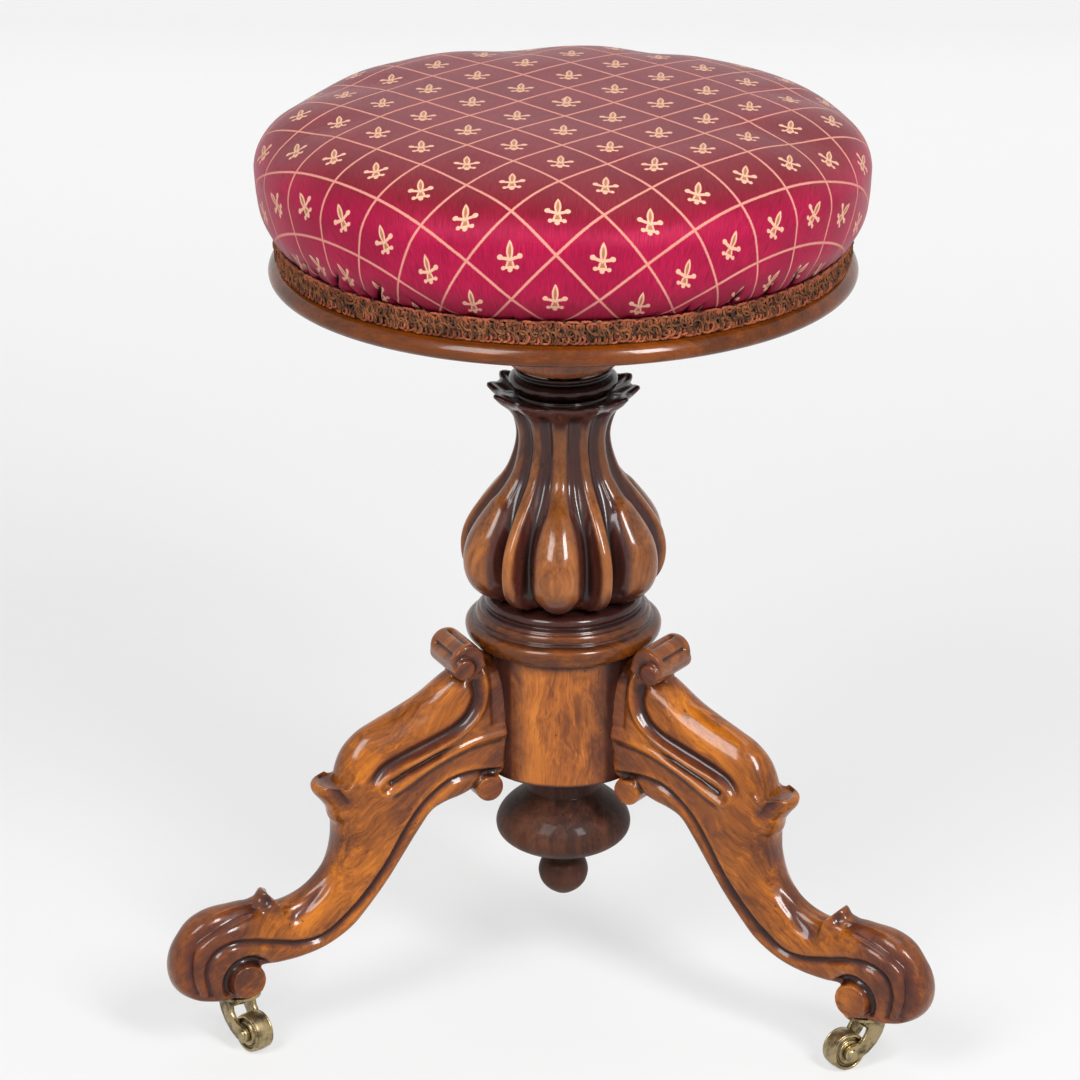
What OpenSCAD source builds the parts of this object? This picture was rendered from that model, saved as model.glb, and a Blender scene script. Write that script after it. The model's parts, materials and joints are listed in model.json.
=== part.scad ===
// Revolving piano stool: an upholstered round seat that winds up and down on a screw,
// a carved vase column, a round hub and three cabriole legs on brass casters.
// The origin is on the floor under the column's axis, with Z up and the back leg along Y.

/* [Casters] */
// Radius of the brass wheel
wheel_r = 11.5; // [10:0.5:13]
// Width of the brass wheel
wheel_w = 12; // [9:0.5:15]
// Radius of the wheel's axle
axle_r = 2; // [1.5:0.1:2.5]
// Thickness of each cheek of the horn
cheek_t = 2.4; // [1.8:0.1:3.2]
// How far the wheel trails behind its pivot
trail = 14; // [11:0.5:17]
// Height from the floor to the underside of the foot
caster_h = 32; // [30:0.5:40]
// Radius of the fixing plate
plate_r = 12.5; // [11:0.5:15]
// Thickness of the fixing plate
plate_t = 2; // [1.5:0.1:2.5]
// Radius of the pivot rivet
pivot_r = 3; // [2.5:0.1:3.5]
// Thickness of the horn's crown
crown_t = 3.5; // [3:0.1:4]
// Direction in which the left wheel trails
left_trail_angle = -47; // [-180:1:180]
// Direction in which the right wheel trails
right_trail_angle = 216; // [0:1:360]
// Direction in which the back wheel trails
back_trail_angle = 300; // [0:1:360]

/* [Legs] */
// Distance from the column's axis to the tip of a foot
leg_reach = 250; // [235:1:270]
// Rise of a leg from the underside of its foot to the top of the hub
leg_rise = 184.5; // [170:0.5:200]
// Width of a leg at the hub and knee
leg_w = 35; // [30:0.5:40]
// Width of a leg at its ankle
ankle_w = 29; // [25:0.5:34]
// Width of a foot
foot_w = 36; // [31:0.5:40]
// Radius of the scroll's eye at the foot
eye_r = 10.5; // [9:0.5:12]
// Radius of the roll at the top of a leg
roll_r = 10; // [8:0.5:11]
// Length of the roll across the leg
roll_w = 36.4; // [34:0.2:40]
// Radius of the small scroll under the hub
curl_r = 8.3; // [7:0.1:9.5]
// Width of the small scroll across the leg
curl_w = 36.4; // [34:0.2:42]
// Depth of the dovetail that holds a leg in the hub
dovetail_d = 14; // [10:0.5:18]
// Width of the dovetail at its inner end
dovetail_w = 19; // [15:0.5:23]
// Width of the dovetail where it leaves the hub
dovetail_neck_w = 13; // [10:0.5:16]

/* [Hub and finial] */
// Radius of the hub
hub_r = 48; // [45:0.5:54]
// Height of the hub
hub_h = 77; // [70:0.5:90]
// Greatest radius of the finial
finial_r = 39.4; // [32:0.2:44]
// Height of the finial below the hub
finial_h = 88; // [80:0.5:94]
// Radius of the finial's peg
finial_peg_r = 11; // [8:0.5:13]
// Length of the finial's peg
finial_peg_h = 26; // [18:0.5:32]

/* [Collar and column] */
// Greatest radius of the collar
collar_r = 56.6; // [50:0.2:64]
// Height of the collar
collar_h = 26.5; // [22:0.5:32]
// Height of the carved column above the collar
column_h = 122; // [112:0.5:132]
// Radius of the column at its widest
bulb_r = 61.5; // [57:0.5:66]
// Radius of the column at its neck
neck_r = 27; // [26:0.5:31]
// Radius to the tips of the crown of leaves
crown_r = 43.5; // [40:0.5:48]
// Height of the turned ring inside the crown
ring_h = 15; // [13:0.5:18]
// Radius of the turned ring inside the crown
ring_r = 31; // [30:0.5:34]
// Radius of the column's tenon
tenon_r = 20; // [18:0.5:23]
// Length of the column's tenon below the collar
tenon_h = 32; // [26:0.5:40]

/* [Screw] */
// Outer radius of the seat screw's thread
screw_r = 11; // [10:0.25:12]
// Depth of the thread
thread_d = 2.6; // [2:0.1:3]
// Rise of the seat in one turn
pitch = 8; // [7:0.5:9]
// Turns from the lowest to the highest seat
seat_turns = 14; // [12:1:15]
// Clearance between the screw and the nut
thread_play = 0.35; // [0.3:0.01:0.5]
// Length of the nut's body below its flange
nut_h = 31; // [26:0.5:34]
// Radius of the nut's body
nut_r = 15; // [14.5:0.25:16]
// Radius of the nut's flange
nut_flange_r = 24; // [22.5:0.25:25.5]
// Thickness of the nut's flange
nut_flange_t = 4; // [3:0.25:5]
// Radius of the bore that clears the screw in the column
column_bore_r = 13; // [12.6:0.1:14]

/* [Seat] */
// Radius of the seat's walnut rim
rim_r = 165; // [155:0.5:175]
// Thickness of the walnut rim
rim_t = 13.5; // [11:0.5:18]
// Thickness of the rim below the board
rim_floor_t = 6.5; // [5:0.5:8]
// Width of the rim outside the board
rim_lip = 9.5; // [8:0.5:14]
// Thickness of the seat board
board_t = 16; // [14:0.5:20]
// Height of the seat's turned boss
boss_h = 58; // [52:0.5:66]
// Radius of the boss at its lower bead
boss_bead_r = 34; // [32.5:0.25:38]
// Radius of the boss's flange under the seat
boss_flange_r = 65; // [60:0.5:72]
// Radius of the iron plate that carries the screw
screw_plate_r = 40; // [36:0.5:44]
// Thickness of the iron plate
screw_plate_t = 4; // [3:0.25:5]

/* [Upholstery] */
// How far the cushion swells out past the board
cushion_swell = 15.8; // [8:0.1:22]
// Height of the cushion from the rim to its widest level
cushion_side_h = 52.5; // [46:0.5:58]
// Height of the cushion's crown above its widest level
crown_h = 36; // [28:0.5:44]
// Thickness of the cover
cover_t = 1.2; // [0.8:0.1:1.6]
// Height of the gimp braid
gimp_h = 13.5; // [11:0.5:15]
// Thickness of the gimp braid
gimp_t = 3.2; // [2.5:0.1:4]
// Number of tacks under the braid
tack_count = 20; // [12:1:28]

/* [Screws and fits] */
// Radius of a wood screw's shank
wood_screw_r = 1.6; // [1.3:0.1:1.9]
// Radius of a wood screw's head
wood_screw_head_r = 3; // [2.6:0.1:3.4]
// Length of a wood screw
wood_screw_h = 14; // [11:0.5:16]
// Radius of a caster screw's shank
small_screw_r = 1.1; // [0.9:0.1:1.3]
// Radius of a caster screw's head
small_screw_head_r = 2; // [1.7:0.1:2.3]
// Length of a caster screw
small_screw_h = 7; // [6:0.5:9]
// Clearance of a glued or seated joint
glue_gap = 0.1; // [0.05:0.01:0.2]
// Radial clearance of a running fit
run_gap = 0.05; // [0.02:0.01:0.08]
// Clearance between pieces that move past each other
free_gap = 0.5; // [0.3:0.05:0.8]

/* [Hidden] */

// Smoothness of the round pieces
$fn = 96;
// Extra length of a cut past the face that it leaves
over = 0.04 * rim_r;
// A width that spans the whole object
wide = 2 * leg_reach;

// Directions of the legs
left_angle = 210;
right_angle = 330;
back_angle = 90;
leg_angles = [left_angle, right_angle, back_angle];
trail_angles = [left_trail_angle, right_trail_angle, back_trail_angle];

// Radii that follow from the legs' reach and from the rim
caster_share = 0.787;
leg_span = leg_reach - hub_r;
caster_reach = hub_r + leg_span * caster_share;
board_r = rim_r - rim_lip;
cushion_r = board_r + cushion_swell;

// Levels above the floor
foot_z = caster_h;
hub_z1 = foot_z + leg_rise;
hub_z0 = hub_z1 - hub_h;
collar_z1 = hub_z1 + collar_h;
crown_z = collar_z1 + column_h;
column_z1 = crown_z + ring_h;
boss_z0 = column_z1 + 2 * free_gap;
board_z0 = boss_z0 + boss_h;
rim_z0 = board_z0 - rim_floor_t;
rim_z1 = rim_z0 + rim_t;
board_z1 = board_z0 + board_t;
cushion_z = rim_z1 + cushion_side_h;

// The screw's travel and levels, seat wound down
travel = seat_turns * pitch;
nut_z0 = column_z1 - nut_flange_t - nut_h;
screw_z0 = nut_z0 - free_gap - travel;
thread_root_r = screw_r - thread_d;
spigot_r = 0.7 * thread_root_r;
washer_t = 0.2 * screw_r;
washer_r = screw_r + (column_bore_r - screw_r) / 2;
stop_t = 0.5 * screw_r;
spigot_z0 = screw_z0 - washer_t - 2 * free_gap - stop_t;
column_bore_z0 = spigot_z0 - 3 * free_gap;
tenon_z0 = hub_z1 - tenon_h;

// Steps around a thread, and the shares of a pitch at which its profile turns
thread_steps = 24;
thread_shares = [0.05, 0.33, 0.47, 0.77];

// Values between two others, and a smooth step from one to the other
function mix(a, b, t) = a + (b - a) * t;
function smooth(t) = t * t * (3 - 2 * t);
function ease(a, b, x) = smooth(min(1, max(0, (x - a) / (b - a))));

// A smooth curve through a list of points, with n steps in each span
function spline_at(a, b, c, d, t) =
    0.5 * (2 * b + (c - a) * t + (2 * a - 5 * b + 4 * c - d) * t * t
           + (3 * b - a - 3 * c + d) * t * t * t);
function spline(p, n) = [
    for (i = [0 : len(p) - 2], j = [0 : n - 1])
        spline_at(p[max(i - 1, 0)], p[i], p[i + 1], p[min(i + 2, len(p) - 1)], j / n),
    p[len(p) - 1]
];

// A wood screw with a countersunk head, its head's face at the origin and its shank along Z
module wood_screw(shank_r, head_r, h) {
    cone_h = head_r - shank_r;
    rotate_extrude($fn = 24)
        polygon([[0, 0], [head_r, 0], [head_r, 0.2 * cone_h], [shank_r, 1.2 * cone_h],
                 [shank_r, 0.7 * h], [0, h]]);
}

// The hole that such a screw leaves, clear of it by the glue gap
module screw_hole(shank_r, head_r, h) {
    cone_h = head_r - shank_r;
    rotate_extrude($fn = 24)
        polygon([[0, -over], [head_r + glue_gap, -over], [head_r + glue_gap, 0.2 * cone_h + glue_gap],
                 [shank_r + glue_gap, 1.2 * cone_h + glue_gap], [shank_r + glue_gap, 0.7 * h + glue_gap],
                 [0, h + 2 * glue_gap]]);
}

// Children at the corners of a ring
module around(count, r, start = 0) {
    for (i = [0 : count - 1])
        rotate(start + i * 360 / count)
            translate([r, 0])
                children();
}

// A turned shape: radii and levels as shares of one radius and one height
module turned(r, h, shares) {
    rotate_extrude()
        polygon([for (p = shares) [p[0] * r, p[1] * h]]);
}

// Upholstery

// Half section of the cushion, drawn in by a wall; its foot hugs the board's edge
side_foot_share = 0.22;
side_turn_share = 0.34;
side_mid_share = 0.55;
crown_power = 0.4;
function cushion_half(wall) = concat(
    [[board_r + glue_gap + cover_t - wall, rim_z1 + 3 * glue_gap],
     [board_r + glue_gap + cover_t - wall, rim_z1 + side_foot_share * cushion_side_h],
     [mix(board_r, cushion_r, 0.45) - wall, rim_z1 + side_turn_share * cushion_side_h],
     [mix(board_r, cushion_r, 0.82) - wall, rim_z1 + side_mid_share * cushion_side_h],
     [mix(board_r, cushion_r, 0.96) - wall, rim_z1 + 0.78 * cushion_side_h]],
    [for (a = [0 : 5 : 85])
        [(cushion_r - wall) * pow(cos(a), crown_power), cushion_z + (crown_h - wall) * sin(a)]],
    [[0, cushion_z + crown_h - wall]]
);

module tack_holes(r0, r1) {
    for (i = [0 : tack_count - 1])
        rotate(i * 360 / tack_count)
            translate([r0, 0, rim_z1 + tack_level])
                rotate([0, 90])
                    cylinder(r = tack_r + glue_gap, h = r1 - r0, $fn = 16);
}
tack_r = 0.5 * cover_t;
tack_head_r = 1.6 * cover_t;
tack_h = 5 * cover_t;
tack_level = 0.09 * cushion_side_h;

module seat_cover() {
    color([0.58, 0.05, 0.14])
        difference() {
            rotate_extrude()
                polygon(concat([[0, rim_z1 + 3 * glue_gap]], cushion_half(0)));
            rotate_extrude()
                polygon(concat([[0, rim_z1 + 3 * glue_gap - over]],
                               [[board_r + glue_gap, rim_z1 + 3 * glue_gap - over]],
                               cushion_half(cover_t)));
            tack_holes(board_r - over, board_r + over);
        }
}

module stuffing() {
    color([0.45, 0.36, 0.26])
        intersection() {
            rotate_extrude()
                polygon(concat([[0, rim_z1]], cushion_half(cover_t + 2 * glue_gap)));
            translate([-wide, -wide, board_z1 + 2 * glue_gap])
                cube([2 * wide, 2 * wide, 2 * crown_h + cushion_side_h]);
        }
}

// The braid lies round the foot of the cover, over the tacks
gimp_inner_r = board_r + cover_t + glue_gap + 2.5 * tack_r;
module gimp_braid() {
    color([0.30, 0.17, 0.09])
        translate([0, 0, rim_z1 + 3 * glue_gap])
            rotate_extrude()
                polygon([[gimp_inner_r, 0],
                         [gimp_inner_r + 0.8 * gimp_t, 0],
                         [gimp_inner_r + gimp_t, 0.2 * gimp_h],
                         [gimp_inner_r + gimp_t, 0.75 * gimp_h],
                         [gimp_inner_r + 0.9 * gimp_t, gimp_h],
                         [gimp_inner_r + 0.6 * gimp_t, gimp_h],
                         [gimp_inner_r, 0.84 * gimp_h]]);
}

module tacks() {
    color([0.35, 0.33, 0.30])
        for (i = [0 : tack_count - 1])
            rotate(i * 360 / tack_count)
                translate([board_r + cover_t + glue_gap + 2 * tack_r, 0, rim_z1 + tack_level])
                    rotate([0, -90])
                        rotate_extrude($fn = 16)
                            polygon([[0, 0], [0.6 * tack_head_r, 0], [tack_head_r, tack_r],
                                     [tack_head_r, 1.6 * tack_r], [tack_r, 1.6 * tack_r],
                                     [tack_r, 0.7 * tack_h], [0, tack_h]]);
}

// Seat frame

module seat_board() {
    color([0.72, 0.56, 0.36])
        difference() {
            translate([0, 0, board_z0])
                cylinder(r = board_r, h = board_t);
            tack_holes(board_r - tack_h - over, board_r + over);
            rim_screw_places()
                screw_hole(wood_screw_r, wood_screw_head_r, wood_screw_h);
            boss_screw_places()
                screw_hole(wood_screw_r, wood_screw_head_r, wood_screw_h + boss_flange_t);
            plate_screw_places()
                screw_hole(wood_screw_r, wood_screw_head_r, wood_screw_h);
        }
}

rim_screw_ring_r = 0.68 * rim_r;
rim_screw_count = 6;
module rim_screw_places() {
    translate([0, 0, rim_z0])
        around(rim_screw_count, rim_screw_ring_r)
            children();
}

module rim_screws() {
    color([0.45, 0.44, 0.42])
        rim_screw_places()
            wood_screw(wood_screw_r, wood_screw_head_r, wood_screw_h);
}

// The rim is a turned disc with a bull-nosed edge, rebated for the board
rim_flat_r = 0.9 * rim_r;
nose_shares = [[-0.085, 0.02], [-0.04, 0.09], [-0.016, 0.2], [-0.004, 0.36], [0, 0.5],
               [-0.002, 0.66], [-0.009, 0.82], [-0.02, 0.94], [-0.033, 1]];
module seat_rim() {
    color([0.50, 0.25, 0.10])
        difference() {
            translate([0, 0, rim_z0])
                rotate_extrude()
                    polygon(concat([[boss_flange_r + glue_gap, 0], [rim_flat_r, 0]],
                                   [for (p = nose_shares) [rim_r * (1 + p[0]), rim_t * p[1]]],
                                   [[board_r + glue_gap, rim_t],
                                    [board_r + glue_gap, rim_floor_t],
                                    [boss_flange_r + glue_gap, rim_floor_t]]));
            rim_screw_places()
                screw_hole(wood_screw_r, wood_screw_head_r, wood_screw_h);
        }
}

// Boss

boss_flange_t = 0.24 * boss_h;
boss_chamfer = 0.055 * boss_h;
boss_shares = [[0.78, 0], [0.87, 0.02], [0.96, 0.065], [1, 0.13], [1, 0.19], [0.94, 0.215],
               [0.93, 0.25], [0.99, 0.31], [1.1, 0.4], [1.28, 0.5], [1.5, 0.59], [1.66, 0.66]];
boss_screw_ring_r = mix(screw_plate_r, boss_flange_r, 0.55);
boss_screw_count = 3;
boss_screw_angle = 60;
module boss_screw_places() {
    translate([0, 0, board_z0 - boss_flange_t])
        around(boss_screw_count, boss_screw_ring_r, boss_screw_angle)
            children();
}

module boss_screws() {
    color([0.45, 0.44, 0.42])
        boss_screw_places()
            wood_screw(wood_screw_r, wood_screw_head_r, wood_screw_h + boss_flange_t);
}

module seat_boss() {
    color([0.36, 0.18, 0.09])
        difference() {
            translate([0, 0, boss_z0])
                rotate_extrude()
                    polygon(concat([[0, 0]],
                                   [for (p = boss_shares) [p[0] * boss_bead_r, p[1] * boss_h]],
                                   [[boss_flange_r - boss_chamfer, boss_h - boss_flange_t],
                                    [boss_flange_r, boss_h - boss_flange_t + boss_chamfer],
                                    [boss_flange_r, boss_h - glue_gap],
                                    [0, boss_h - glue_gap]]));
            translate([0, 0, boss_z0 - over])
                cylinder(r = screw_r + free_gap, h = boss_h + 2 * over);
            translate([0, 0, board_z0 - screw_plate_t - glue_gap])
                cylinder(r = screw_plate_r + 2 * glue_gap, h = screw_plate_t + over);
            boss_screw_places()
                screw_hole(wood_screw_r, wood_screw_head_r, wood_screw_h + boss_flange_t);
        }
}

plate_screw_ring_r = 0.72 * screw_plate_r;
plate_screw_count = 4;
plate_screw_angle = 45;
module plate_screw_places() {
    translate([0, 0, board_z0 - screw_plate_t])
        around(plate_screw_count, plate_screw_ring_r, plate_screw_angle)
            children();
}

module plate_screws() {
    color([0.45, 0.44, 0.42])
        plate_screw_places()
            wood_screw(wood_screw_r, wood_screw_head_r, wood_screw_h);
}

module screw_plate() {
    color([0.30, 0.30, 0.31])
        difference() {
            translate([0, 0, board_z0 - screw_plate_t])
                cylinder(r = screw_plate_r, h = screw_plate_t - glue_gap);
            translate([0, 0, board_z0 - screw_plate_t - over])
                cylinder(r = thread_root_r + run_gap, h = screw_plate_t + 2 * over);
            plate_screw_places()
                screw_hole(wood_screw_r, wood_screw_head_r, wood_screw_h);
        }
}

// Screw and nut
// A thread is a grid of columns around the axis. Each row climbs one pitch in a turn, and
// points past the two end levels fall on the column's own end points, which closes it flat.
// Rows are counted from the floor, so the screw and the nut are in step.

function row_z(j) = pitch * (floor(j / 4) + thread_shares[j % 4]);
function thread_z(i, j, z0) = pitch * (floor(z0 / pitch) - 2 + i / thread_steps) + row_z(j);
function row_count(h) = 4 * ceil(h / pitch + 4);
function row_radius(j, root, crest) = (j % 4 == 0 || j % 4 == 1) ? root : crest;

// Place of a grid point in the list: its own, the column's foot or the column's head
function thread_index(i, j, z0, h, rows) =
    let (c = i % thread_steps, k = i == thread_steps ? j + 4 : j, z = thread_z(c, k, z0))
    z <= z0 ? thread_steps * rows + c : z >= z0 + h ? thread_steps * (rows + 1) + c : c * rows + k;

function thread_points(z0, h, root, crest, end_r) = let (rows = row_count(h)) concat(
    [for (i = [0 : thread_steps - 1], j = [0 : rows - 1])
        let (a = 360 * i / thread_steps, r = row_radius(j, root, crest))
            [r * cos(a), r * sin(a), thread_z(i, j, z0)]],
    [for (z = [z0, z0 + h], i = [0 : thread_steps - 1])
        [end_r * cos(360 * i / thread_steps), end_r * sin(360 * i / thread_steps), z]]
);

function split(q) = [[q[0], q[1], q[2]], [q[0], q[2], q[3]]];
function whole(t) = t[0] != t[1] && t[1] != t[2] && t[0] != t[2];
function thread_faces(z0, h) = let (rows = row_count(h)) [
    for (i = [0 : thread_steps - 1], j = [0 : rows - 6])
        for (t = split([thread_index(i, j, z0, h, rows), thread_index(i, j + 1, z0, h, rows),
                        thread_index(i + 1, j + 1, z0, h, rows), thread_index(i + 1, j, z0, h, rows)]))
            if (whole(t)) t
];

// A ring of points, and the faces between two rings or on a flat end
function ring_points(r, z) = [
    for (i = [0 : thread_steps - 1]) [r * cos(360 * i / thread_steps), r * sin(360 * i / thread_steps), z]
];
function band(a, b) = [
    for (i = [0 : thread_steps - 1], t = split([a + i, b + i, b + (i + 1) % thread_steps,
                                               a + (i + 1) % thread_steps])) t
];
function disc_up(a) = [[for (i = [thread_steps - 1 : -1 : 0]) a + i]];
function disc_down(a) = [[for (i = [0 : thread_steps - 1]) a + i]];

// The screw: a spigot for the stop, the thread, a plain shank and a riveted top
module seat_screw() {
    h = boss_z0 - screw_z0;
    n = thread_steps * row_count(h);
    s = thread_steps;
    color([0.33, 0.33, 0.34])
        polyhedron(
            concat(thread_points(screw_z0, h, thread_root_r, screw_r, thread_root_r),
                   ring_points(spigot_r, screw_z0), ring_points(spigot_r, spigot_z0),
                   ring_points(screw_r, boss_z0 + thread_d),
                   ring_points(screw_r, board_z0 - screw_plate_t),
                   ring_points(thread_root_r, board_z0 - screw_plate_t),
                   ring_points(thread_root_r, board_z0 - glue_gap)),
            concat(thread_faces(screw_z0, h),
                   band(n + 2 * s, n), band(n + 3 * s, n + 2 * s), disc_down(n + 3 * s),
                   band(n + s, n + 4 * s), band(n + 4 * s, n + 5 * s), band(n + 5 * s, n + 6 * s),
                   band(n + 6 * s, n + 7 * s), disc_up(n + 7 * s)));
}

// The nut: the same thread with clearance, inside a round body with a flange
module screw_nut() {
    h = nut_h + nut_flange_t;
    root = thread_root_r + thread_play;
    crest = screw_r + thread_play;
    n = thread_steps * row_count(h);
    s = thread_steps;
    body_r = nut_r - glue_gap;
    color([0.62, 0.50, 0.26])
        difference() {
            polyhedron(
                concat(thread_points(nut_z0, h, root, crest, crest),
                       ring_points(body_r, nut_z0), ring_points(body_r, nut_z0 + nut_h),
                       ring_points(nut_flange_r - glue_gap, nut_z0 + nut_h),
                       ring_points(nut_flange_r - glue_gap, nut_z0 + h)),
                [for (f = concat(thread_faces(nut_z0, h),
                                 band(n + 2 * s, n), band(n + 3 * s, n + 2 * s),
                                 band(n + 4 * s, n + 3 * s), band(n + 5 * s, n + 4 * s),
                                 band(n + s, n + 5 * s)))
                    [f[2], f[1], f[0]]]);
            nut_screw_places()
                screw_hole(wood_screw_r, wood_screw_head_r, wood_screw_h);
        }
}

nut_screw_ring_r = mix(nut_r, nut_flange_r, 0.52);
nut_screw_count = 3;
module nut_screw_places() {
    translate([0, 0, column_z1])
        mirror([0, 0, 1])
            around(nut_screw_count, nut_screw_ring_r)
                children();
}

module nut_screws() {
    color([0.45, 0.44, 0.42])
        nut_screw_places()
            wood_screw(wood_screw_r, wood_screw_head_r, wood_screw_h);
}

module stop_collar() {
    color([0.36, 0.36, 0.37])
        translate([0, 0, spigot_z0])
            difference() {
                cylinder(r = washer_r, h = stop_t);
                translate([0, 0, -over])
                    cylinder(r = spigot_r + run_gap, h = stop_t + 2 * over);
            }
}

module stop_washer() {
    color([0.40, 0.26, 0.16])
        translate([0, 0, spigot_z0 + stop_t + free_gap])
            difference() {
                cylinder(r = washer_r, h = washer_t);
                translate([0, 0, -over])
                    cylinder(r = spigot_r + 2 * run_gap, h = washer_t + 2 * over);
            }
}

// Column
// Six lobes swell from the neck to the bulb, with a thin rib between each pair.

lobe_count = 6;
lobe_angle = 30;
column_steps = 96;
column_level_shares = [0, 0.025, 0.06, 0.1, 0.15, 0.2, 0.26, 0.32, 0.38, 0.44, 0.5, 0.56, 0.62, 0.68,
                       0.74, 0.8, 0.86, 0.91, 0.94, 0.97, 1];
// Outer radius at each of those levels, between the neck, the bulb and the crown
column_swell_shares = [0.28, 0.52, 0.74, 0.88, 0.965, 1, 0.995, 0.94, 0.83, 0.68, 0.51, 0.33, 0.18, 0.09,
                       0.03, 0, 0, 0, 0, 0, 0];
column_flare_shares = [0, 0, 0, 0, 0, 0, 0, 0, 0, 0, 0, 0, 0, 0, 0, 0, 0.05, 0.22, 0.42, 0.72, 1];

// Depth of the flutes beside each rib: deepest on the bulb, shallow at the neck, none at the crown
function flute(k) = (0.1 + 0.12 * column_swell_shares[k]) * (1 - ease(0.5, 1, column_flare_shares[k]));
// Height of the carving across a lobe, a flute and a rib, for an angle and a level's swell:
// 1 on the middle of a lobe, 0 on the floor of a flute
function carving(a, swell) =
    let (t = abs(((a - lobe_angle) * lobe_count / 360 + 100.5) % 1 - 0.5) * 2,
         lobe_share = mix(0.36, 0.54, swell),
         rib_share = mix(0.26, 0.18, swell))
    t < lobe_share ? sqrt(1 - 0.84 * pow(t / lobe_share, 2))
    : t > 1 - rib_share ? 0.82 - 0.42 * pow((1 - t) / rib_share, 4)
    : 0.4 * pow(2 * (t - lobe_share) / (1 - rib_share - lobe_share) - 1, 2);
// The crown of leaves has a tip over each lobe and each rib
function leaf_tip(a) = 0.8 + 0.2 * pow(abs(cos(a * lobe_count)), 4);
function column_radius(k, a) =
    mix(neck_r, bulb_r, column_swell_shares[k]) * (1 - flute(k) * (1 - carving(a, column_swell_shares[k])))
    + (crown_r - neck_r) * column_flare_shares[k] * leaf_tip(a);

module column_vase() {
    levels = len(column_level_shares);
    polyhedron(
        [for (k = [0 : levels - 1], i = [0 : column_steps - 1])
            let (a = 360 * i / column_steps, r = column_radius(k, a))
                [r * cos(a), r * sin(a), collar_z1 + column_h * column_level_shares[k]]],
        concat([for (k = [0 : levels - 2], i = [0 : column_steps - 1])
                   let (m = (i + 1) % column_steps, a = k * column_steps, b = (k + 1) * column_steps)
                       each [[a + i, b + i, b + m], [a + i, b + m, a + m]]],
               [[for (i = [0 : column_steps - 1]) i]],
               [[for (i = [column_steps - 1 : -1 : 0]) (levels - 1) * column_steps + i]]));
}

ring_shares = [[0.93, -0.5], [0.9, 0], [0.88, 0.12], [0.96, 0.26], [1, 0.42], [0.99, 0.58], [0.93, 0.7],
               [0.86, 0.74], [0.86, 0.84], [0.9, 0.9], [0.9, 0.98], [0.88, 1]];
module column() {
    color([0.30, 0.15, 0.08])
        difference() {
            union() {
                column_vase();
                translate([0, 0, crown_z])
                    rotate_extrude()
                        polygon(concat([[0, -0.5 * ring_h]],
                                       [for (p = ring_shares) [p[0] * ring_r, p[1] * ring_h]],
                                       [[0, ring_h]]));
                translate([0, 0, tenon_z0])
                    cylinder(r = tenon_r, h = collar_z1 - tenon_z0 + over);
            }
            translate([0, 0, column_bore_z0])
                cylinder(r = column_bore_r, h = column_z1 - column_bore_z0 + over);
            translate([0, 0, nut_z0 - glue_gap])
                cylinder(r = nut_r + glue_gap, h = column_z1 - nut_z0 + over);
            translate([0, 0, column_z1 - nut_flange_t - glue_gap])
                cylinder(r = nut_flange_r + glue_gap, h = nut_flange_t + over);
            nut_screw_places()
                screw_hole(wood_screw_r, wood_screw_head_r, wood_screw_h);
        }
}

// Collar, hub and finial

collar_shares = [[0.93, 0], [0.965, 0.06], [0.99, 0.15], [1, 0.26], [0.995, 0.34], [0.975, 0.4], [0.94, 0.44],
                 [0.915, 0.45], [0.915, 0.49], [0.897, 0.5], [0.893, 0.57], [0.875, 0.65], [0.855, 0.67],
                 [0.845, 0.72], [0.825, 0.745], [0.79, 0.755], [0.79, 0.8], [0.8, 0.85], [0.795, 0.91],
                 [0.775, 0.96], [0.74, 0.99], [0.7, 1]];
module collar() {
    color([0.42, 0.21, 0.09])
        difference() {
            translate([0, 0, hub_z1])
                turned(collar_r, collar_h, concat([[0, 0]], collar_shares, [[0, 1]]));
            translate([0, 0, hub_z1 - over])
                cylinder(r = tenon_r + glue_gap, h = collar_h + 2 * over);
        }
}

// A dovetail key, wider at its inner end; a slot is the same key with clearance.
// The key reaches into the leg by one step, and starts one step above the hub's underside.
dovetail_step = 0.25 * dovetail_d;
module dovetail(gap, z0, z1) {
    translate([0, 0, z0])
        linear_extrude(z1 - z0)
            polygon([[hub_r - dovetail_d - gap, -dovetail_w / 2 - gap],
                     [hub_r - dovetail_d - gap, dovetail_w / 2 + gap],
                     [hub_r + dovetail_step, dovetail_neck_w / 2 + gap],
                     [hub_r + dovetail_step, -dovetail_neck_w / 2 - gap]]);
}
dovetail_z1 = hub_z1 - 0.22 * hub_h;

module hub() {
    color([0.60, 0.33, 0.13])
        difference() {
            translate([0, 0, hub_z0])
                cylinder(r = hub_r, h = hub_h);
            for (a = leg_angles)
                rotate(a)
                    dovetail(glue_gap, hub_z0 - over, dovetail_z1 + glue_gap);
            translate([0, 0, tenon_z0 - glue_gap])
                cylinder(r = tenon_r + glue_gap, h = tenon_h + over);
            translate([0, 0, hub_z0 - over])
                cylinder(r = finial_peg_r + glue_gap, h = finial_peg_h + glue_gap + over);
        }
}

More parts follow.
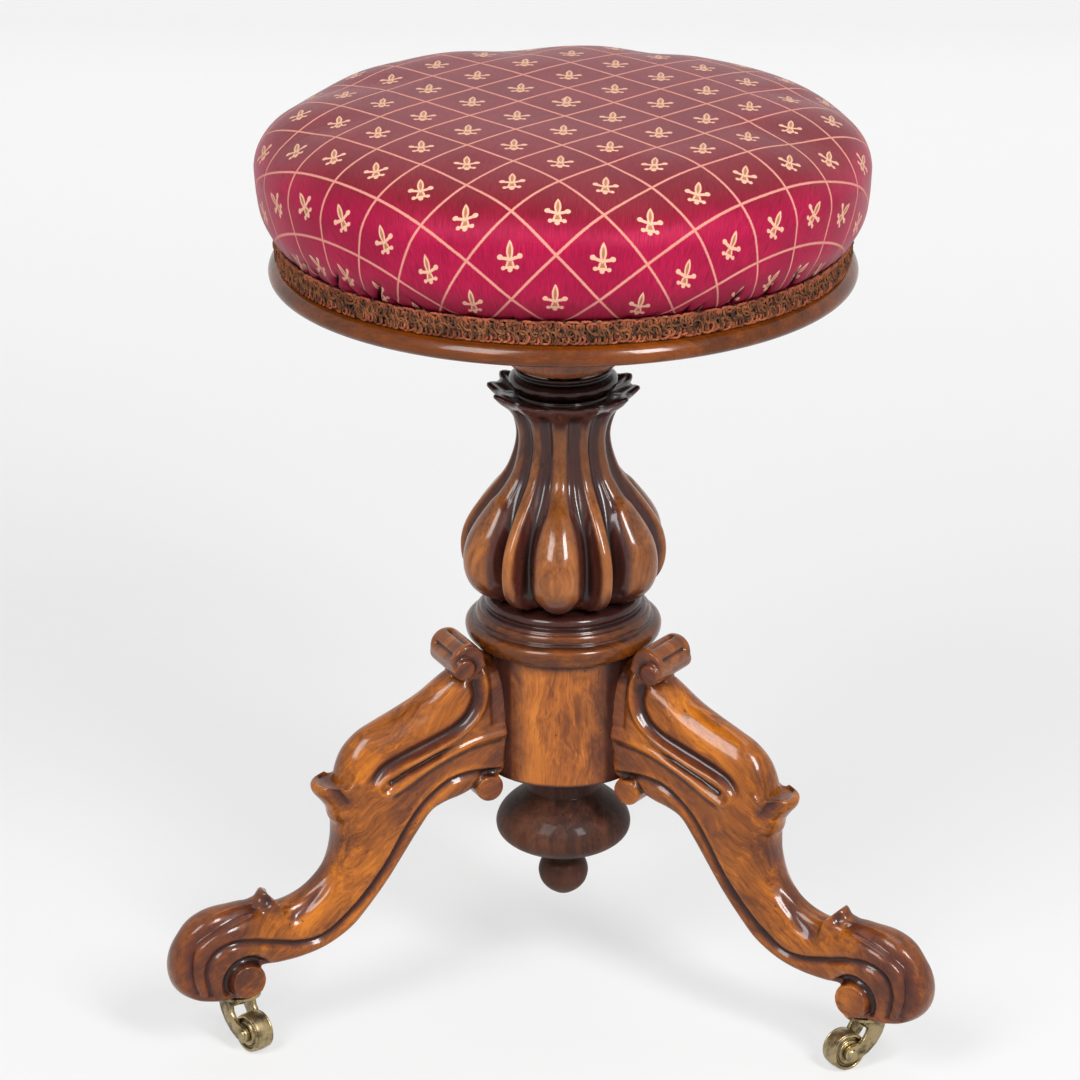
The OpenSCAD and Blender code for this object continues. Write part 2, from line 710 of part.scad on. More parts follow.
finial_shares = [[0, 0], [0.14, 0.01], [0.25, 0.045], [0.33, 0.09], [0.365, 0.14], [0.368, 0.18],
                 [0.335, 0.23], [0.28, 0.265], [0.27, 0.29], [0.31, 0.312], [0.44, 0.339], [0.62, 0.366],
                 [0.79, 0.4], [0.915, 0.44], [0.98, 0.48], [1, 0.525], [0.985, 0.565], [0.94, 0.61],
                 [0.86, 0.655], [0.76, 0.695], [0.66, 0.73], [0.575, 0.765], [0.54, 0.79], [0.54, 0.86],
                 [0.6, 0.9], [0.7, 0.94], [0.74, 1]];
module finial() {
    color([0.20, 0.11, 0.08])
        translate([0, 0, hub_z0 - finial_h - glue_gap])
            union() {
                turned(finial_r, finial_h, concat(finial_shares, [[0, 1]]));
                translate([0, 0, 0.5 * finial_h])
                    cylinder(r = finial_peg_r, h = 0.5 * finial_h + finial_peg_h);
            }
}

// Legs
// Each station joins a point on the leg's back edge to one on its front edge, both in
// shares of the distance from hub to tip and of the rise from foot to hub.

function leg_point(s) = [hub_r + leg_span * s[0], foot_z + leg_rise * s[1]];
top_shares = [[-0.03, 0.985], [0.06, 0.985], [0.14, 0.935], [0.21, 0.885], [0.28, 0.85], [0.35, 0.82],
              [0.41, 0.79], [0.458, 0.735], [0.483, 0.645], [0.488, 0.545], [0.49, 0.46], [0.507, 0.388],
              [0.54, 0.34], [0.588, 0.3], [0.647, 0.277], [0.702, 0.277], [0.752, 0.298], [0.812, 0.3],
              [0.88, 0.292], [0.94, 0.26], [0.982, 0.2], [1, 0.13], [0.99, 0.065], [0.955, 0.025],
              [0.9, 0.01], [0.84, 0.006], [0.78, 0.008], [0.74, 0.022]];
under_shares = [[-0.03, 0.6], [0.07, 0.6], [0.12, 0.563], [0.168, 0.545], [0.212, 0.51], [0.252, 0.455],
                [0.287, 0.4], [0.317, 0.353], [0.347, 0.307], [0.379, 0.262], [0.416, 0.215],
                [0.455, 0.172], [0.5, 0.14], [0.554, 0.115], [0.62, 0.101], [0.685, 0.098], [0.73, 0.103],
                [0.76, 0.1], [0.775, 0.1], [0.785, 0.095], [0.79, 0.085], [0.793, 0.075], [0.792, 0.066],
                [0.79, 0.06], [0.785, 0.055], [0.778, 0.052], [0.77, 0.052], [0.76, 0.055]];
// Width at each station, from the ankle's width at 0 to the knee's or the foot's at 1
width_shares = [1, 1, 1, 1, 1, 1, 1, 1, 0.85, 0.55, 0.3, 0.15, 0.05, 0, 0, 0.1, 0.5, 0.9, 1, 1, 1, 1, 1,
                1, 1, 1, 1, 1];
ankle_station = 13;
// Half section of the leg: across it, then from its back edge to its front edge
section_shares = [[0.82, 0], [1, 0.1], [1, 0.55], [0.94, 0.78], [0.72, 0.92], [0.38, 0.985]];
leg_smooth = 2;

function leg_width(k) = mix(ankle_w, k < ankle_station ? leg_w : foot_w, width_shares[k]);
leg_stations = spline([for (k = [0 : len(top_shares) - 1])
                          concat(leg_point(top_shares[k]), leg_point(under_shares[k]), [leg_width(k)])],
                      leg_smooth);
function leg_section(s) = [
    for (side = [1, -1], k = [0 : len(section_shares) - 1])
        let (q = section_shares[side > 0 ? k : len(section_shares) - 1 - k])
            [mix(s[2], s[0], q[1]), side * q[0] * s[4] / 2, mix(s[3], s[1], q[1])]
];

module leg_loft() {
    m = 2 * len(section_shares);
    n = len(leg_stations);
    polyhedron(
        [for (s = leg_stations) each leg_section(s)],
        concat([for (i = [0 : n - 2], j = [0 : m - 1])
                   let (k = (j + 1) % m, a = i * m, b = (i + 1) * m)
                       each [[a + j, b + k, a + k], [a + j, b + j, b + k]]],
               [[for (j = [0 : m - 1]) j]],
               [[for (j = [m - 1 : -1 : 0]) (n - 1) * m + j]]));
}

// A round across the leg, centred at a point given in shares
module across(share, r, w) {
    p = leg_point(share);
    translate([p[0], w / 2, p[1]])
        rotate([90, 0])
            cylinder(r = r, h = w);
}

// A leaf tip: an outline in shares, as thick as a part of the leg
module leaf(shares, w) {
    rotate([90, 0])
        translate([0, 0, -w / 2])
            linear_extrude(w)
                polygon([for (p = shares) leg_point(p)]);
}

eye_share = [0.792, 0.066];
roll_share = [0.097, 1];
curl_share = [0.035, 0.563];
knee_leaf_shares = [[0.44, 0.72], [0.495, 0.662], [0.545, 0.66], [0.54, 0.635], [0.507, 0.59],
                    [0.49, 0.545], [0.44, 0.53]];
ankle_leaf_shares = [[0.68, 0.24], [0.69, 0.3], [0.714, 0.333], [0.735, 0.315], [0.765, 0.3], [0.77, 0.24]];
pivot_room_h = 1.5 * pivot_r + 2 * free_gap;

// A leg along +X, its dovetail inside the hub
module leg() {
    color([0.55, 0.29, 0.10])
        union() {
            difference() {
                union() {
                    leg_loft();
                    across(eye_share, eye_r, foot_w + cheek_t);
                    across(roll_share, roll_r, roll_w);
                    across(curl_share, curl_r, curl_w);
                    leaf(knee_leaf_shares, 0.7 * leg_w);
                    leaf(ankle_leaf_shares, 0.7 * ankle_w);
                    translate([caster_reach, 0, foot_z])
                        cylinder(r = plate_r, h = 0.8 * eye_r);
                }
                translate([0, 0, foot_z])
                    cylinder(r = hub_r + glue_gap, h = 2 * leg_rise);
                translate([caster_reach, 0, foot_z - over]) {
                    cylinder(r = 1.8 * pivot_r, h = pivot_room_h + over);
                    around(caster_screw_count, caster_screw_ring_r, caster_screw_angle)
                        cylinder(r = small_screw_r + glue_gap,
                                 h = small_screw_h - plate_t + 2 * glue_gap + over);
                }
            }
            dovetail(0, hub_z0 + dovetail_step, dovetail_z1);
        }
}

module leg_left() { rotate(left_angle) leg(); }
module leg_right() { rotate(right_angle) leg(); }
module leg_back() { rotate(back_angle) leg(); }

// Casters, each in a frame with its pivot along Z over the origin and its wheel along +X

caster_screw_count = 3;
caster_screw_ring_r = 0.68 * plate_r;
caster_screw_angle = 60;
horn_z1 = foot_z - plate_t - free_gap;
fork_w = wheel_w + 2 * free_gap;
horn_w = fork_w + 2 * cheek_t;
axle_end_r = 2.4 * axle_r;

module at_foot(angle) {
    rotate(angle)
        translate([caster_reach, 0])
            children();
}

// The place and swing of one caster's moving parts
module at_caster(k) {
    at_foot(leg_angles[k])
        rotate(trail_angles[k] - leg_angles[k])
            children();
}

module caster_plate() {
    color([0.66, 0.53, 0.28])
        difference() {
            translate([0, 0, foot_z - plate_t])
                cylinder(r = plate_r, h = plate_t);
            translate([0, 0, foot_z - plate_t - over])
                cylinder(r = pivot_r + run_gap, h = plate_t + 2 * over);
            translate([0, 0, foot_z - plate_t])
                around(caster_screw_count, caster_screw_ring_r, caster_screw_angle)
                    screw_hole(small_screw_r, small_screw_head_r, small_screw_h);
        }
}

module caster_plate_left() { at_foot(left_angle) caster_plate(); }
module caster_plate_right() { at_foot(right_angle) caster_plate(); }
module caster_plate_back() { at_foot(back_angle) caster_plate(); }

module caster_plate_screws() {
    color([0.60, 0.48, 0.25])
        for (a = leg_angles)
            at_foot(a)
                translate([0, 0, foot_z - plate_t])
                    around(caster_screw_count, caster_screw_ring_r, caster_screw_angle)
                        wood_screw(small_screw_r, small_screw_head_r, small_screw_h);
}

// One cheek of the horn, seen from the side
cheek_shares = [[-0.62, 1], [0.3, 1], [0.24, 0.8], [0.3, 0.6], [0.44, 0.42], [0.66, 0.3], [1, 0.267],
                [1, -0.267], [0.62, -0.22], [0.22, -0.08], [-0.16, 0.16], [-0.44, 0.46], [-0.6, 0.78]];
module cheek() {
    rise = horn_z1 - wheel_r;
    linear_extrude(cheek_t)
        difference() {
            union() {
                polygon([for (p = cheek_shares) [p[0] * trail, wheel_r + p[1] * rise]]);
                translate([trail, wheel_r])
                    circle(r = axle_end_r);
            }
            translate([trail, wheel_r])
                circle(r = axle_r + run_gap / 2);
        }
}

module caster_horn() {
    color([0.62, 0.49, 0.25])
        difference() {
            union() {
                for (y = [fork_w / 2 + cheek_t, -fork_w / 2])
                    translate([0, y])
                        rotate([90, 0])
                            cheek();
                intersection() {
                    translate([0, 0, horn_z1 - crown_t])
                        cylinder(r = 0.62 * horn_w, h = crown_t);
                    translate([-0.62 * trail, -horn_w / 2, horn_z1 - crown_t])
                        cube([trail, horn_w, crown_t]);
                }
            }
            translate([0, 0, horn_z1 - crown_t - over])
                cylinder(r = pivot_r + run_gap / 2, h = crown_t + 2 * over);
        }
}

// The pivot is riveted under the horn and above the plate
module caster_pivot() {
    head_t = 0.5 * pivot_r;
    color([0.58, 0.46, 0.24])
        translate([0, 0, horn_z1 - crown_t])
            rotate_extrude($fn = 48)
                polygon([[0, -head_t], [1.2 * pivot_r, -head_t], [1.5 * pivot_r, -head_t / 2],
                         [1.5 * pivot_r, -glue_gap / 2], [pivot_r, -glue_gap / 2],
                         [pivot_r, crown_t + plate_t + 2 * free_gap],
                         [1.5 * pivot_r, crown_t + plate_t + 2 * free_gap],
                         [1.5 * pivot_r, crown_t + plate_t + 2 * free_gap + head_t],
                         [0, crown_t + plate_t + 2 * free_gap + head_t]]);
}

module caster_axle() {
    head_t = 0.45 * axle_r;
    color([0.55, 0.43, 0.22])
        translate([trail, horn_w / 2 + head_t, wheel_r])
            rotate([90, 0])
                rotate_extrude($fn = 48)
                    polygon([[0, 0], [1.1 * axle_r, 0], [1.5 * axle_r, head_t - glue_gap / 2],
                             [axle_r, head_t - glue_gap / 2], [axle_r, head_t + horn_w + glue_gap / 2],
                             [1.5 * axle_r, head_t + horn_w + glue_gap / 2],
                             [1.1 * axle_r, 2 * head_t + horn_w], [0, 2 * head_t + horn_w]]);
}

// The wheel is a wide roller with eased edges and a shallow dish on each side
module caster_wheel() {
    ease_r = 0.1 * wheel_r;
    dish = 0.06 * wheel_w;
    half = wheel_w / 2;
    color([0.70, 0.57, 0.31])
        translate([trail, 0, wheel_r])
            rotate([90, 0])
                rotate_extrude($fn = 72)
                    polygon([[axle_r + run_gap, -half], [2.2 * axle_r, -half], [2.6 * axle_r, dish - half],
                             [0.8 * wheel_r, dish - half], [wheel_r - ease_r, -half],
                             [wheel_r, ease_r - half], [wheel_r, half - ease_r],
                             [wheel_r - ease_r, half], [0.8 * wheel_r, half - dish],
                             [2.6 * axle_r, half - dish], [2.2 * axle_r, half], [axle_r + run_gap, half]]);
}

module caster_horn_left() { at_caster(0) caster_horn(); }
module caster_horn_right() { at_caster(1) caster_horn(); }
module caster_horn_back() { at_caster(2) caster_horn(); }
module caster_pivot_left() { at_caster(0) caster_pivot(); }
module caster_pivot_right() { at_caster(1) caster_pivot(); }
module caster_pivot_back() { at_caster(2) caster_pivot(); }
module caster_axle_left() { at_caster(0) caster_axle(); }
module caster_axle_right() { at_caster(1) caster_axle(); }
module caster_axle_back() { at_caster(2) caster_axle(); }
module caster_wheel_left() { at_caster(0) caster_wheel(); }
module caster_wheel_right() { at_caster(1) caster_wheel(); }
module caster_wheel_back() { at_caster(2) caster_wheel(); }

seat_cover();
stuffing();
gimp_braid();
tacks();
seat_board();
seat_rim();
rim_screws();
seat_boss();
boss_screws();
screw_plate();
plate_screws();
seat_screw();
stop_collar();
stop_washer();
screw_nut();
nut_screws();
column();
collar();
hub();
finial();
leg_left();
leg_right();
leg_back();
caster_plate_left();
caster_plate_right();
caster_plate_back();
caster_plate_screws();
caster_horn_left();
caster_horn_right();
caster_horn_back();
caster_pivot_left();
caster_pivot_right();
caster_pivot_back();
caster_axle_left();
caster_axle_right();
caster_axle_back();
caster_wheel_left();
caster_wheel_right();
caster_wheel_back();
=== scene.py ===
"""Looks of a revolving piano stool: carved walnut, an upholstered seat in silk damask and brass casters."""

import json
import math

import bpy
import numpy as np
from mathutils import Matrix, Vector, kdtree

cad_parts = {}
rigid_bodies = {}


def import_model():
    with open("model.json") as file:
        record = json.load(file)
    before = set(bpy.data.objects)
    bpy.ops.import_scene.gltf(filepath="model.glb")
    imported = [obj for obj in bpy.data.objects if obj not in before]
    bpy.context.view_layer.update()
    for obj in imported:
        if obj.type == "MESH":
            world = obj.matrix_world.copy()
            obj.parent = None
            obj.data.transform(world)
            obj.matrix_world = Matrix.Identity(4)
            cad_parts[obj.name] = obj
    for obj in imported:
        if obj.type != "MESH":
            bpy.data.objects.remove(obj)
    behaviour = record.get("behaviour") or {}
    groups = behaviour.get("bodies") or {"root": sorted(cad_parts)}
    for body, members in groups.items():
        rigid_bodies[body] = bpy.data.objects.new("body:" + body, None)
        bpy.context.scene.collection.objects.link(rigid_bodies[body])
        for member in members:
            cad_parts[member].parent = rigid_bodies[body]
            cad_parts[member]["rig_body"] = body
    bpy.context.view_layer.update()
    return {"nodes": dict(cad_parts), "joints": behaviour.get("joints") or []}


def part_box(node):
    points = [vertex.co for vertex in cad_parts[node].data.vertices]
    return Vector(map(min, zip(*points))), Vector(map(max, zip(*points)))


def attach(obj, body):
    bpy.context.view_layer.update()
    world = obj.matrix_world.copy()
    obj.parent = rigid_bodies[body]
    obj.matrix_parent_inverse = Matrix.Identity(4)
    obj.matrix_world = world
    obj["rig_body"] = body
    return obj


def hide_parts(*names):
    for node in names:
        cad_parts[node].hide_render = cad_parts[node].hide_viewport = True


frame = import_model()

MM = 0.001
rng = np.random.RandomState(11)


def size(node):
    """Half width, lowest level and highest level of a CAD node, in millimetres."""
    low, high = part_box(node)
    return (high.x - low.x) / 2 / MM, low.z / MM, high.z / MM


# Sizes that come from the frame, in millimetres
hub_r, hub_z0, hub_z1 = size("hub")
collar_r, _, collar_z1 = size("collar")
finial_r, finial_z0, finial_peg_z1 = size("finial")
_, tenon_z0, column_z1 = size("column")
rim_r, rim_z0, rim_z1 = size("seat_rim")
board_r, board_z0, board_z1 = size("seat_board")
boss_flange_r, boss_z0, boss_z1 = size("seat_boss")
cushion_r, _, cushion_z1 = size("seat_cover")
gimp_r, gimp_z0, gimp_z1 = size("gimp_braid")
screw_r = size("seat_screw")[0]
nut_flange_r, nut_z0, _ = size("screw_nut")
plate_r, _, foot_z = size("caster_plate_back")
wheel_r = size("caster_wheel_back")[2] / 2
leg_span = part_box("leg_back")[1].y / MM - hub_r
leg_rise = hub_z1 - foot_z

LEG_ANGLES = {"left": 210, "right": 330, "back": 90}

# The camera stands at the photograph's angle, and its picture is PHOTO_PIXELS wide
PHOTO_PIXELS = 1080
FOCAL_PIXELS = 4472
AXIS_PIXEL = 563.3
SENSOR_WIDTH = 36
CAMERA_AZIMUTH = 274
CAMERA_PITCH = 21.4
CAMERA_DISTANCE = 2.5636
AIM_HEIGHT = hub_z1 * MM + 0.0574


# Curves and numbers

def smooth_step(low, high, x):
    t = np.clip((x - low) / (high - low), 0, 1)
    return t * t * (3 - 2 * t)


def mix(a, b, t):
    return a + (b - a) * t


def bell(off, width):
    return np.exp(-(off / width) ** 2)


def unit(vectors):
    return vectors / np.linalg.norm(vectors, axis=1)[:, None]


def round_angles(count):
    return np.arange(count) * 2 * math.pi / count


def around(radius, angle, level):
    """Points from radii, angles and levels."""
    return np.stack(np.broadcast_arrays(radius * np.cos(angle), radius * np.sin(angle), level), -1)


def shares(*points):
    """Points or numbers that are given in thousandths."""
    return np.array(points) / 1000


def spline(points, steps):
    """A smooth curve through the points, with that many steps in each span."""
    p = np.asarray(points, float)
    padded = np.vstack([p[:1], p, p[-1:]])
    t = (np.arange(steps) / steps)[:, None]
    spans = [0.5 * (2 * b + (c - a) * t + (2 * a - 5 * b + 4 * c - d) * t ** 2
                    + (3 * b - a - 3 * c + d) * t ** 3)
             for a, b, c, d in zip(padded[:-3], padded[1:-2], padded[2:-1], padded[3:])]
    return np.vstack(spans + [p[-1:]])


def lengths(path):
    """How far along a path each of its points lies."""
    return np.concatenate([[0], np.cumsum(np.linalg.norm(np.diff(path, axis=0), axis=1))])


def even(points, step):
    """The same path, with points a step apart."""
    p = np.asarray(points, float)
    along = lengths(p)
    at = np.linspace(0, along[-1], max(2, int(round(along[-1] / step)) + 1))
    return np.column_stack([np.interp(at, along, column) for column in p.T])


def near_path(points, path):
    """Distance from each point to a path, its share of the way along, and its side: + to the left."""
    best = np.full(len(points), np.inf)
    share, side = np.zeros((2, len(points)))
    spans = np.diff(path, axis=0)
    for k, d in enumerate(spans):
        rel = points - path[k]
        t = np.clip(rel @ d / (d @ d), 0, 1)
        dist = np.hypot(*(rel - t[:, None] * d).T)
        closer = dist < best
        best[closer] = dist[closer]
        share[closer] = (k + t[closer]) / len(spans)
        side[closer] = np.sign(d[0] * rel[closer, 1] - d[1] * rel[closer, 0])
    return best, share, side


# Meshes

def grid_faces(rows, cols, wrap_rows=False):
    """Faces between rings of points. The last ring can join the first."""
    i, j = np.meshgrid(np.arange(rows if wrap_rows else rows - 1), np.arange(cols), indexing="ij")
    n, m = (i + 1) % rows, (j + 1) % cols
    return np.stack([i * cols + j, i * cols + m, n * cols + m, n * cols + j], -1).reshape(-1, 4).tolist()


def fan(first, cols, tip):
    """Faces between a ring of points and a tip."""
    return [[first + (k + 1) % cols, first + k, tip] for k in range(cols)]


def solid(rings):
    """Points and faces of a solid from rings of points, with a flat face at each end."""
    rows, cols = rings.shape[:2]
    ends = [list(range(cols))[::-1], list(range((rows - 1) * cols, rows * cols))]
    return rings.reshape(-1, 3), grid_faces(rows, cols) + ends


def turned(profile, steps, closed):
    """Points and faces of a profile turned about the axis. One that isn't closed gets a tip at each end."""
    p = np.asarray(profile, float)
    verts = around(p[:, :1], round_angles(steps), p[:, 1:]).reshape(-1, 3)
    faces = grid_faces(len(p), steps, wrap_rows=closed)
    if closed:
        return verts, faces
    n = len(verts)
    faces += fan(0, steps, n) + [f[::-1] for f in fan(n - steps, steps, n + 1)]
    return np.vstack([verts, [[0, 0, p[0, 1]], [0, 0, p[-1, 1]]]]), faces


def add_to_scene(name, data):
    obj = bpy.data.objects.new(name, data)
    bpy.context.scene.collection.objects.link(obj)
    return obj


def table(items, name, width, kind=np.float32):
    """One value of every vertex, edge, loop or triangle, as rows."""
    flat = np.zeros(len(items) * width, kind)
    items.foreach_get(name, flat)
    return flat.reshape(-1, width)


def points_of(mesh):
    return table(mesh.vertices, "co", 3).astype(float)


def normals_of(mesh):
    return table(mesh.vertices, "normal", 3).astype(float)


def edges_of(mesh):
    return table(mesh.edges, "vertices", 2, np.int32)


def set_points(mesh, co):
    mesh.vertices.foreach_set("co", co.astype(np.float32).ravel())
    mesh.update()


def set_smooth(mesh):
    mesh.polygons.foreach_set("use_smooth", [True] * len(mesh.polygons))


def set_attribute(mesh, name, values):
    layer = mesh.attributes.get(name) or mesh.attributes.new(name, "FLOAT", "POINT")
    layer.data.foreach_set("value", np.clip(values, 0, 1).astype(np.float32))


def new_object(name, verts, faces, material):
    """An object from points in millimetres, with its faces turned outward."""
    mesh = bpy.data.meshes.new(name)
    mesh.from_pydata((np.asarray(verts) * MM).tolist(), [], faces)
    mesh.validate()
    mesh.calc_loop_triangles()
    corners = points_of(mesh)[table(mesh.loop_triangles, "vertices", 3, np.int32)]
    if np.einsum("ij,ij->i", corners[:, 0], np.cross(corners[:, 1], corners[:, 2])).sum() < 0:
        mesh.flip_normals()
    mesh.update()
    set_smooth(mesh)
    if material:
        mesh.materials.append(material)
    return add_to_scene(name, mesh)


def smoothed(co, edges, passes, share=0.5):
    """The points after some passes of averaging each with its neighbours."""
    n = len(co)
    count = np.maximum(np.bincount(edges.ravel(), minlength=n)[:, None], 1)
    a, b = edges.T
    for _ in range(passes):
        total = np.column_stack([np.bincount(a, column[b], n) + np.bincount(b, column[a], n)
                                 for column in co.T])
        co = mix(co, total / count, share)
    return co


def mark_wear(obj, depth, passes):
    """Stores how hollow the surface is at each point: 0.5 where it's even, 1 in a groove, 0 on a ridge."""
    co = points_of(obj.data)
    soft = smoothed(co, edges_of(obj.data), passes)
    hollow = ((soft - co) * normals_of(obj.data)).sum(1) / (depth * MM)
    set_attribute(obj.data, "wear", 0.5 + 0.5 * np.tanh(hollow))


def lathe(name, profile, material, steps=192, closed=True, wear=(0.5, 24), shade=None):
    """A turned piece: a list of radii and levels. A closed profile goes round a bore.
    The shade, a list of levels and values, says where shade is painted on it."""
    obj = new_object(name, *turned(profile, steps, closed), material)
    mark_wear(obj, *wear)
    if shade:
        set_attribute(obj.data, "shade", np.interp(points_of(obj.data)[:, 2] / MM, *zip(*shade)))
    return obj


def turned_curve(points, radius, z0, height, step=1.0):
    """Points of a turned outline, given in shares of a radius and a height, smoothed and evenly spaced."""
    return even(spline(points, 8) * [radius, height] + [0, z0], step)


def fill(target, **settings):
    for key, value in settings.items():
        setattr(target, key, value)


def apply(obj, modifier_kind, **settings):
    """Applies one modifier to an object's mesh."""
    mod = obj.modifiers.new("work", modifier_kind)
    fill(mod, **settings)
    mesh = bpy.data.meshes.new_from_object(obj.evaluated_get(bpy.context.evaluated_depsgraph_get()))
    obj.modifiers.remove(mod)
    old, obj.data = obj.data, mesh
    bpy.data.meshes.remove(old)


def show(piece, body, slot, *nodes):
    """Attaches a piece to the body it rides on and hides the CAD nodes that it replaces. The slot is not
    used.
    """
    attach(piece, body)
    if nodes:
        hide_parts(*nodes)


# Materials

class Value:
    """What a node gives out. It adds, subtracts and multiplies like a number, by further nodes."""

    def __init__(self, nodes, socket):
        self.nodes, self.socket = nodes, socket

    def __add__(self, other):
        return self.nodes.math("ADD", self, other)

    def __sub__(self, other):
        return self.nodes.math("SUBTRACT", self, other)

    def __rsub__(self, other):
        return self.nodes.math("SUBTRACT", other, self)

    def __mul__(self, other):
        return self.nodes.math("MULTIPLY", self, other)

    def __abs__(self):
        return self.nodes.math("ABSOLUTE", self)


class Nodes:
    """Short calls that add and join the nodes of a tree."""

    def __init__(self, tree):
        self.tree = tree

    def add(self, kind, values=(), out=0, **settings):
        """A new node's output. Its inputs are filled in order, or by name or number."""
        made = self.tree.nodes.new(kind)
        fill(made, **settings)
        for key, value in values.items() if isinstance(values, dict) else enumerate(values):
            self.put(made.inputs[key], value)
        return Value(self, made.outputs[out])

    def put(self, socket, value):
        if isinstance(value, Value):
            self.tree.links.new(value.socket, socket)
        elif socket.type == "RGBA" and len(value) == 3:
            socket.default_value = (*value, 1)
        else:
            socket.default_value = value

    def math(self, kind, *values):
        return self.add("ShaderNodeMath", values, operation=kind)

    def length(self, a, b):
        return self.math("SQRT", a * a + b * b)

    def least(self, a, b):
        return self.math("MINIMUM", a, b)

    def most(self, a, b):
        return self.math("MAXIMUM", a, b)

    def step(self, low, high, x, out_low=0.0, out_high=1.0):
        return self.add("ShaderNodeMapRange", (x, low, high, out_low, out_high),
                        interpolation_type="SMOOTHSTEP")

    def blend(self, factor, a, b, kind="MIX"):
        return self.add("ShaderNodeMix", {0: factor, 6: a, 7: b}, 2, data_type="RGBA", blend_type=kind)

    def parts(self, vector):
        """The three numbers of a vector."""
        first = self.add("ShaderNodeSeparateXYZ", [vector])
        return [Value(self, socket) for socket in first.socket.node.outputs]

    def shown(self):
        """1 for the rays that see the pale background, which metal and glass reflect too."""
        rays = self.add("ShaderNodeLightPath").socket.node.outputs
        seen = Value(self, rays["Is Camera Ray"])
        for name in ("Is Glossy Ray", "Is Transmission Ray"):
            seen = self.most(seen, Value(self, rays[name]))
        return seen


class Look(Nodes):
    """A material."""

    def __init__(self, name):
        self.material = bpy.data.materials.new(name)
        self.material.use_nodes = True
        super().__init__(self.material.node_tree)
        self.tree.nodes.clear()
        self.surface = self.add("ShaderNodeBsdfPrincipled")
        self.output = self.tree.nodes.new("ShaderNodeOutputMaterial").inputs[0]
        self.put(self.output, self.surface)

    def set(self, **values):
        for key, value in values.items():
            self.put(self.surface.socket.node.inputs[key.replace("_", " ")], value)

    def coords(self, name="Object"):
        return self.add("ShaderNodeTexCoord", out=name)

    def place(self, scale=(1, 1, 1), turn=(0, 0, 0), coords=None):
        """Coordinates, turned and then scaled. Without others they are the object's, in metres."""
        coords = coords or self.coords()
        if any(turn):
            angles = [math.radians(t) for t in turn]
            coords = self.add("ShaderNodeMapping", {"Vector": coords, "Rotation": angles})
        return self.add("ShaderNodeMapping", {"Vector": coords, "Scale": scale})

    def noise(self, coords, scale, detail=3.0, rough=0.5, warp=0.0, out=0):
        return self.add("ShaderNodeTexNoise", {"Vector": coords, "Scale": scale, "Detail": detail,
                                               "Roughness": rough, "Distortion": warp}, out)

    def cells(self, coords, scale):
        return self.add("ShaderNodeTexVoronoi", {"Vector": coords, "Scale": scale})

    def attribute(self, name):
        return self.add("ShaderNodeAttribute", out="Fac", attribute_name=name)

    def bump(self, height, strength, distance):
        return self.add("ShaderNodeBump", {"Strength": strength, "Distance": distance, "Height": height})


def times(share, color):
    return [share * c for c in color]


def wood(name, light, mid, dark, turn=(0, 90, 0), burr=0.0, rough=0.22, coat=0.5, stain=0.4, uses_wear=True):
    """Polished wood: figure and pores along the grain, a dark colour in the hollows that is partly old polish
    and partly painted shade, painted shade from the shade attribute, and pale wear on the ridges."""
    look = Look(name)
    plain = look.place()
    wander = look.noise(plain, 16 + 14 * burr, 2, out=1)
    bent = look.add("ShaderNodeVectorMath", (wander, [0.014 + 0.02 * burr] * 3, plain),
                    operation="MULTIPLY_ADD")

    def grain(scale, coords, *noise):
        return look.noise(look.place(scale, turn, coords), *noise)

    broad = grain((3, 13, 13), bent, 2.4)
    streaks = grain((8, 80, 80), bent, 2.2, 5, 0.62, 0.3)
    fine = grain((18, 330, 330), bent, 2.2, 4, 0.6)
    swirl = look.noise(bent, 42, 5, 0.62, 1.2)
    tone = broad * 0.4 + streaks * (0.4 - 0.15 * burr) + fine * 0.2 + swirl * (0.15 * burr)
    color = look.blend(look.step(0.40, 0.525, tone), dark, mid)
    color = look.blend(look.step(0.485, 0.60, tone), color, light)
    color = look.blend(look.step(0.47, 0.66, grain((0.7, 1, 1), None, 26, 2), 0.0, 0.55), color, mid)
    lines = look.step(0.56, 0.70, grain((14, 210, 210), bent, 2.6, 4, 0.65))
    pores = look.step(0.60, 0.72, grain((40, 900, 900), None, 1.6, 2, 0.6))
    specks = look.step(0.16, 0.05, look.cells(look.place((1, 1, 1), turn, bent), 150))
    specks = specks * look.step(0.50, 0.62, look.noise(plain, 38))
    stains = look.step(0.54, 0.70, grain((0.6, 1, 1), None, 38, 6, 0.68, 0.7))
    for mask, share, darker in ((lines, 0.35, 0.45), (pores, 0.5, 0.3), (specks, 0.7, 0.3),
                                (stains, stain, 0.55)):
        color = look.blend(mask * share, color, times(darker, dark))
    if uses_wear:
        uneven = (look.noise(plain, 120, 5, 0.6) - 0.5) * 0.5
        # Painted shade: the shade attribute darkens the colour and tints it mauve where shade falls
        shade = look.step(0.05, 0.9, look.attribute("shade") + uneven * 0.9)
        color = look.blend(shade, color, (0.20, 0.12, 0.15), "MULTIPLY")
        color = look.blend(shade, color, (0.020, 0.008, 0.008), "ADD")
        hollow_level = look.attribute("wear") + uneven * 0.5
        # Dark colour in the hollows: partly old polish and dirt, partly painted shade
        color = look.blend(look.step(0.54, 0.9, hollow_level) * 0.9, color, GRIME_AND_SHADE)
        ridge = look.step(0.40, 0.05, hollow_level) * (1.0 - shade)
        color = look.blend(ridge * 0.35, color, [min(1, c) for c in times(1.3, light)])
    height = look.noise(plain, 60, 2) - pores * 0.10
    look.set(Base_Color=color, Roughness=look.noise(plain, 90) * 0.14 + rough, Coat_Weight=coat,
             Coat_Roughness=0.1, Coat_IOR=1.5, Specular_IOR_Level=0.12, IOR=1.5,
             Normal=look.bump(height, 0.4, 0.0007))
    return look.material


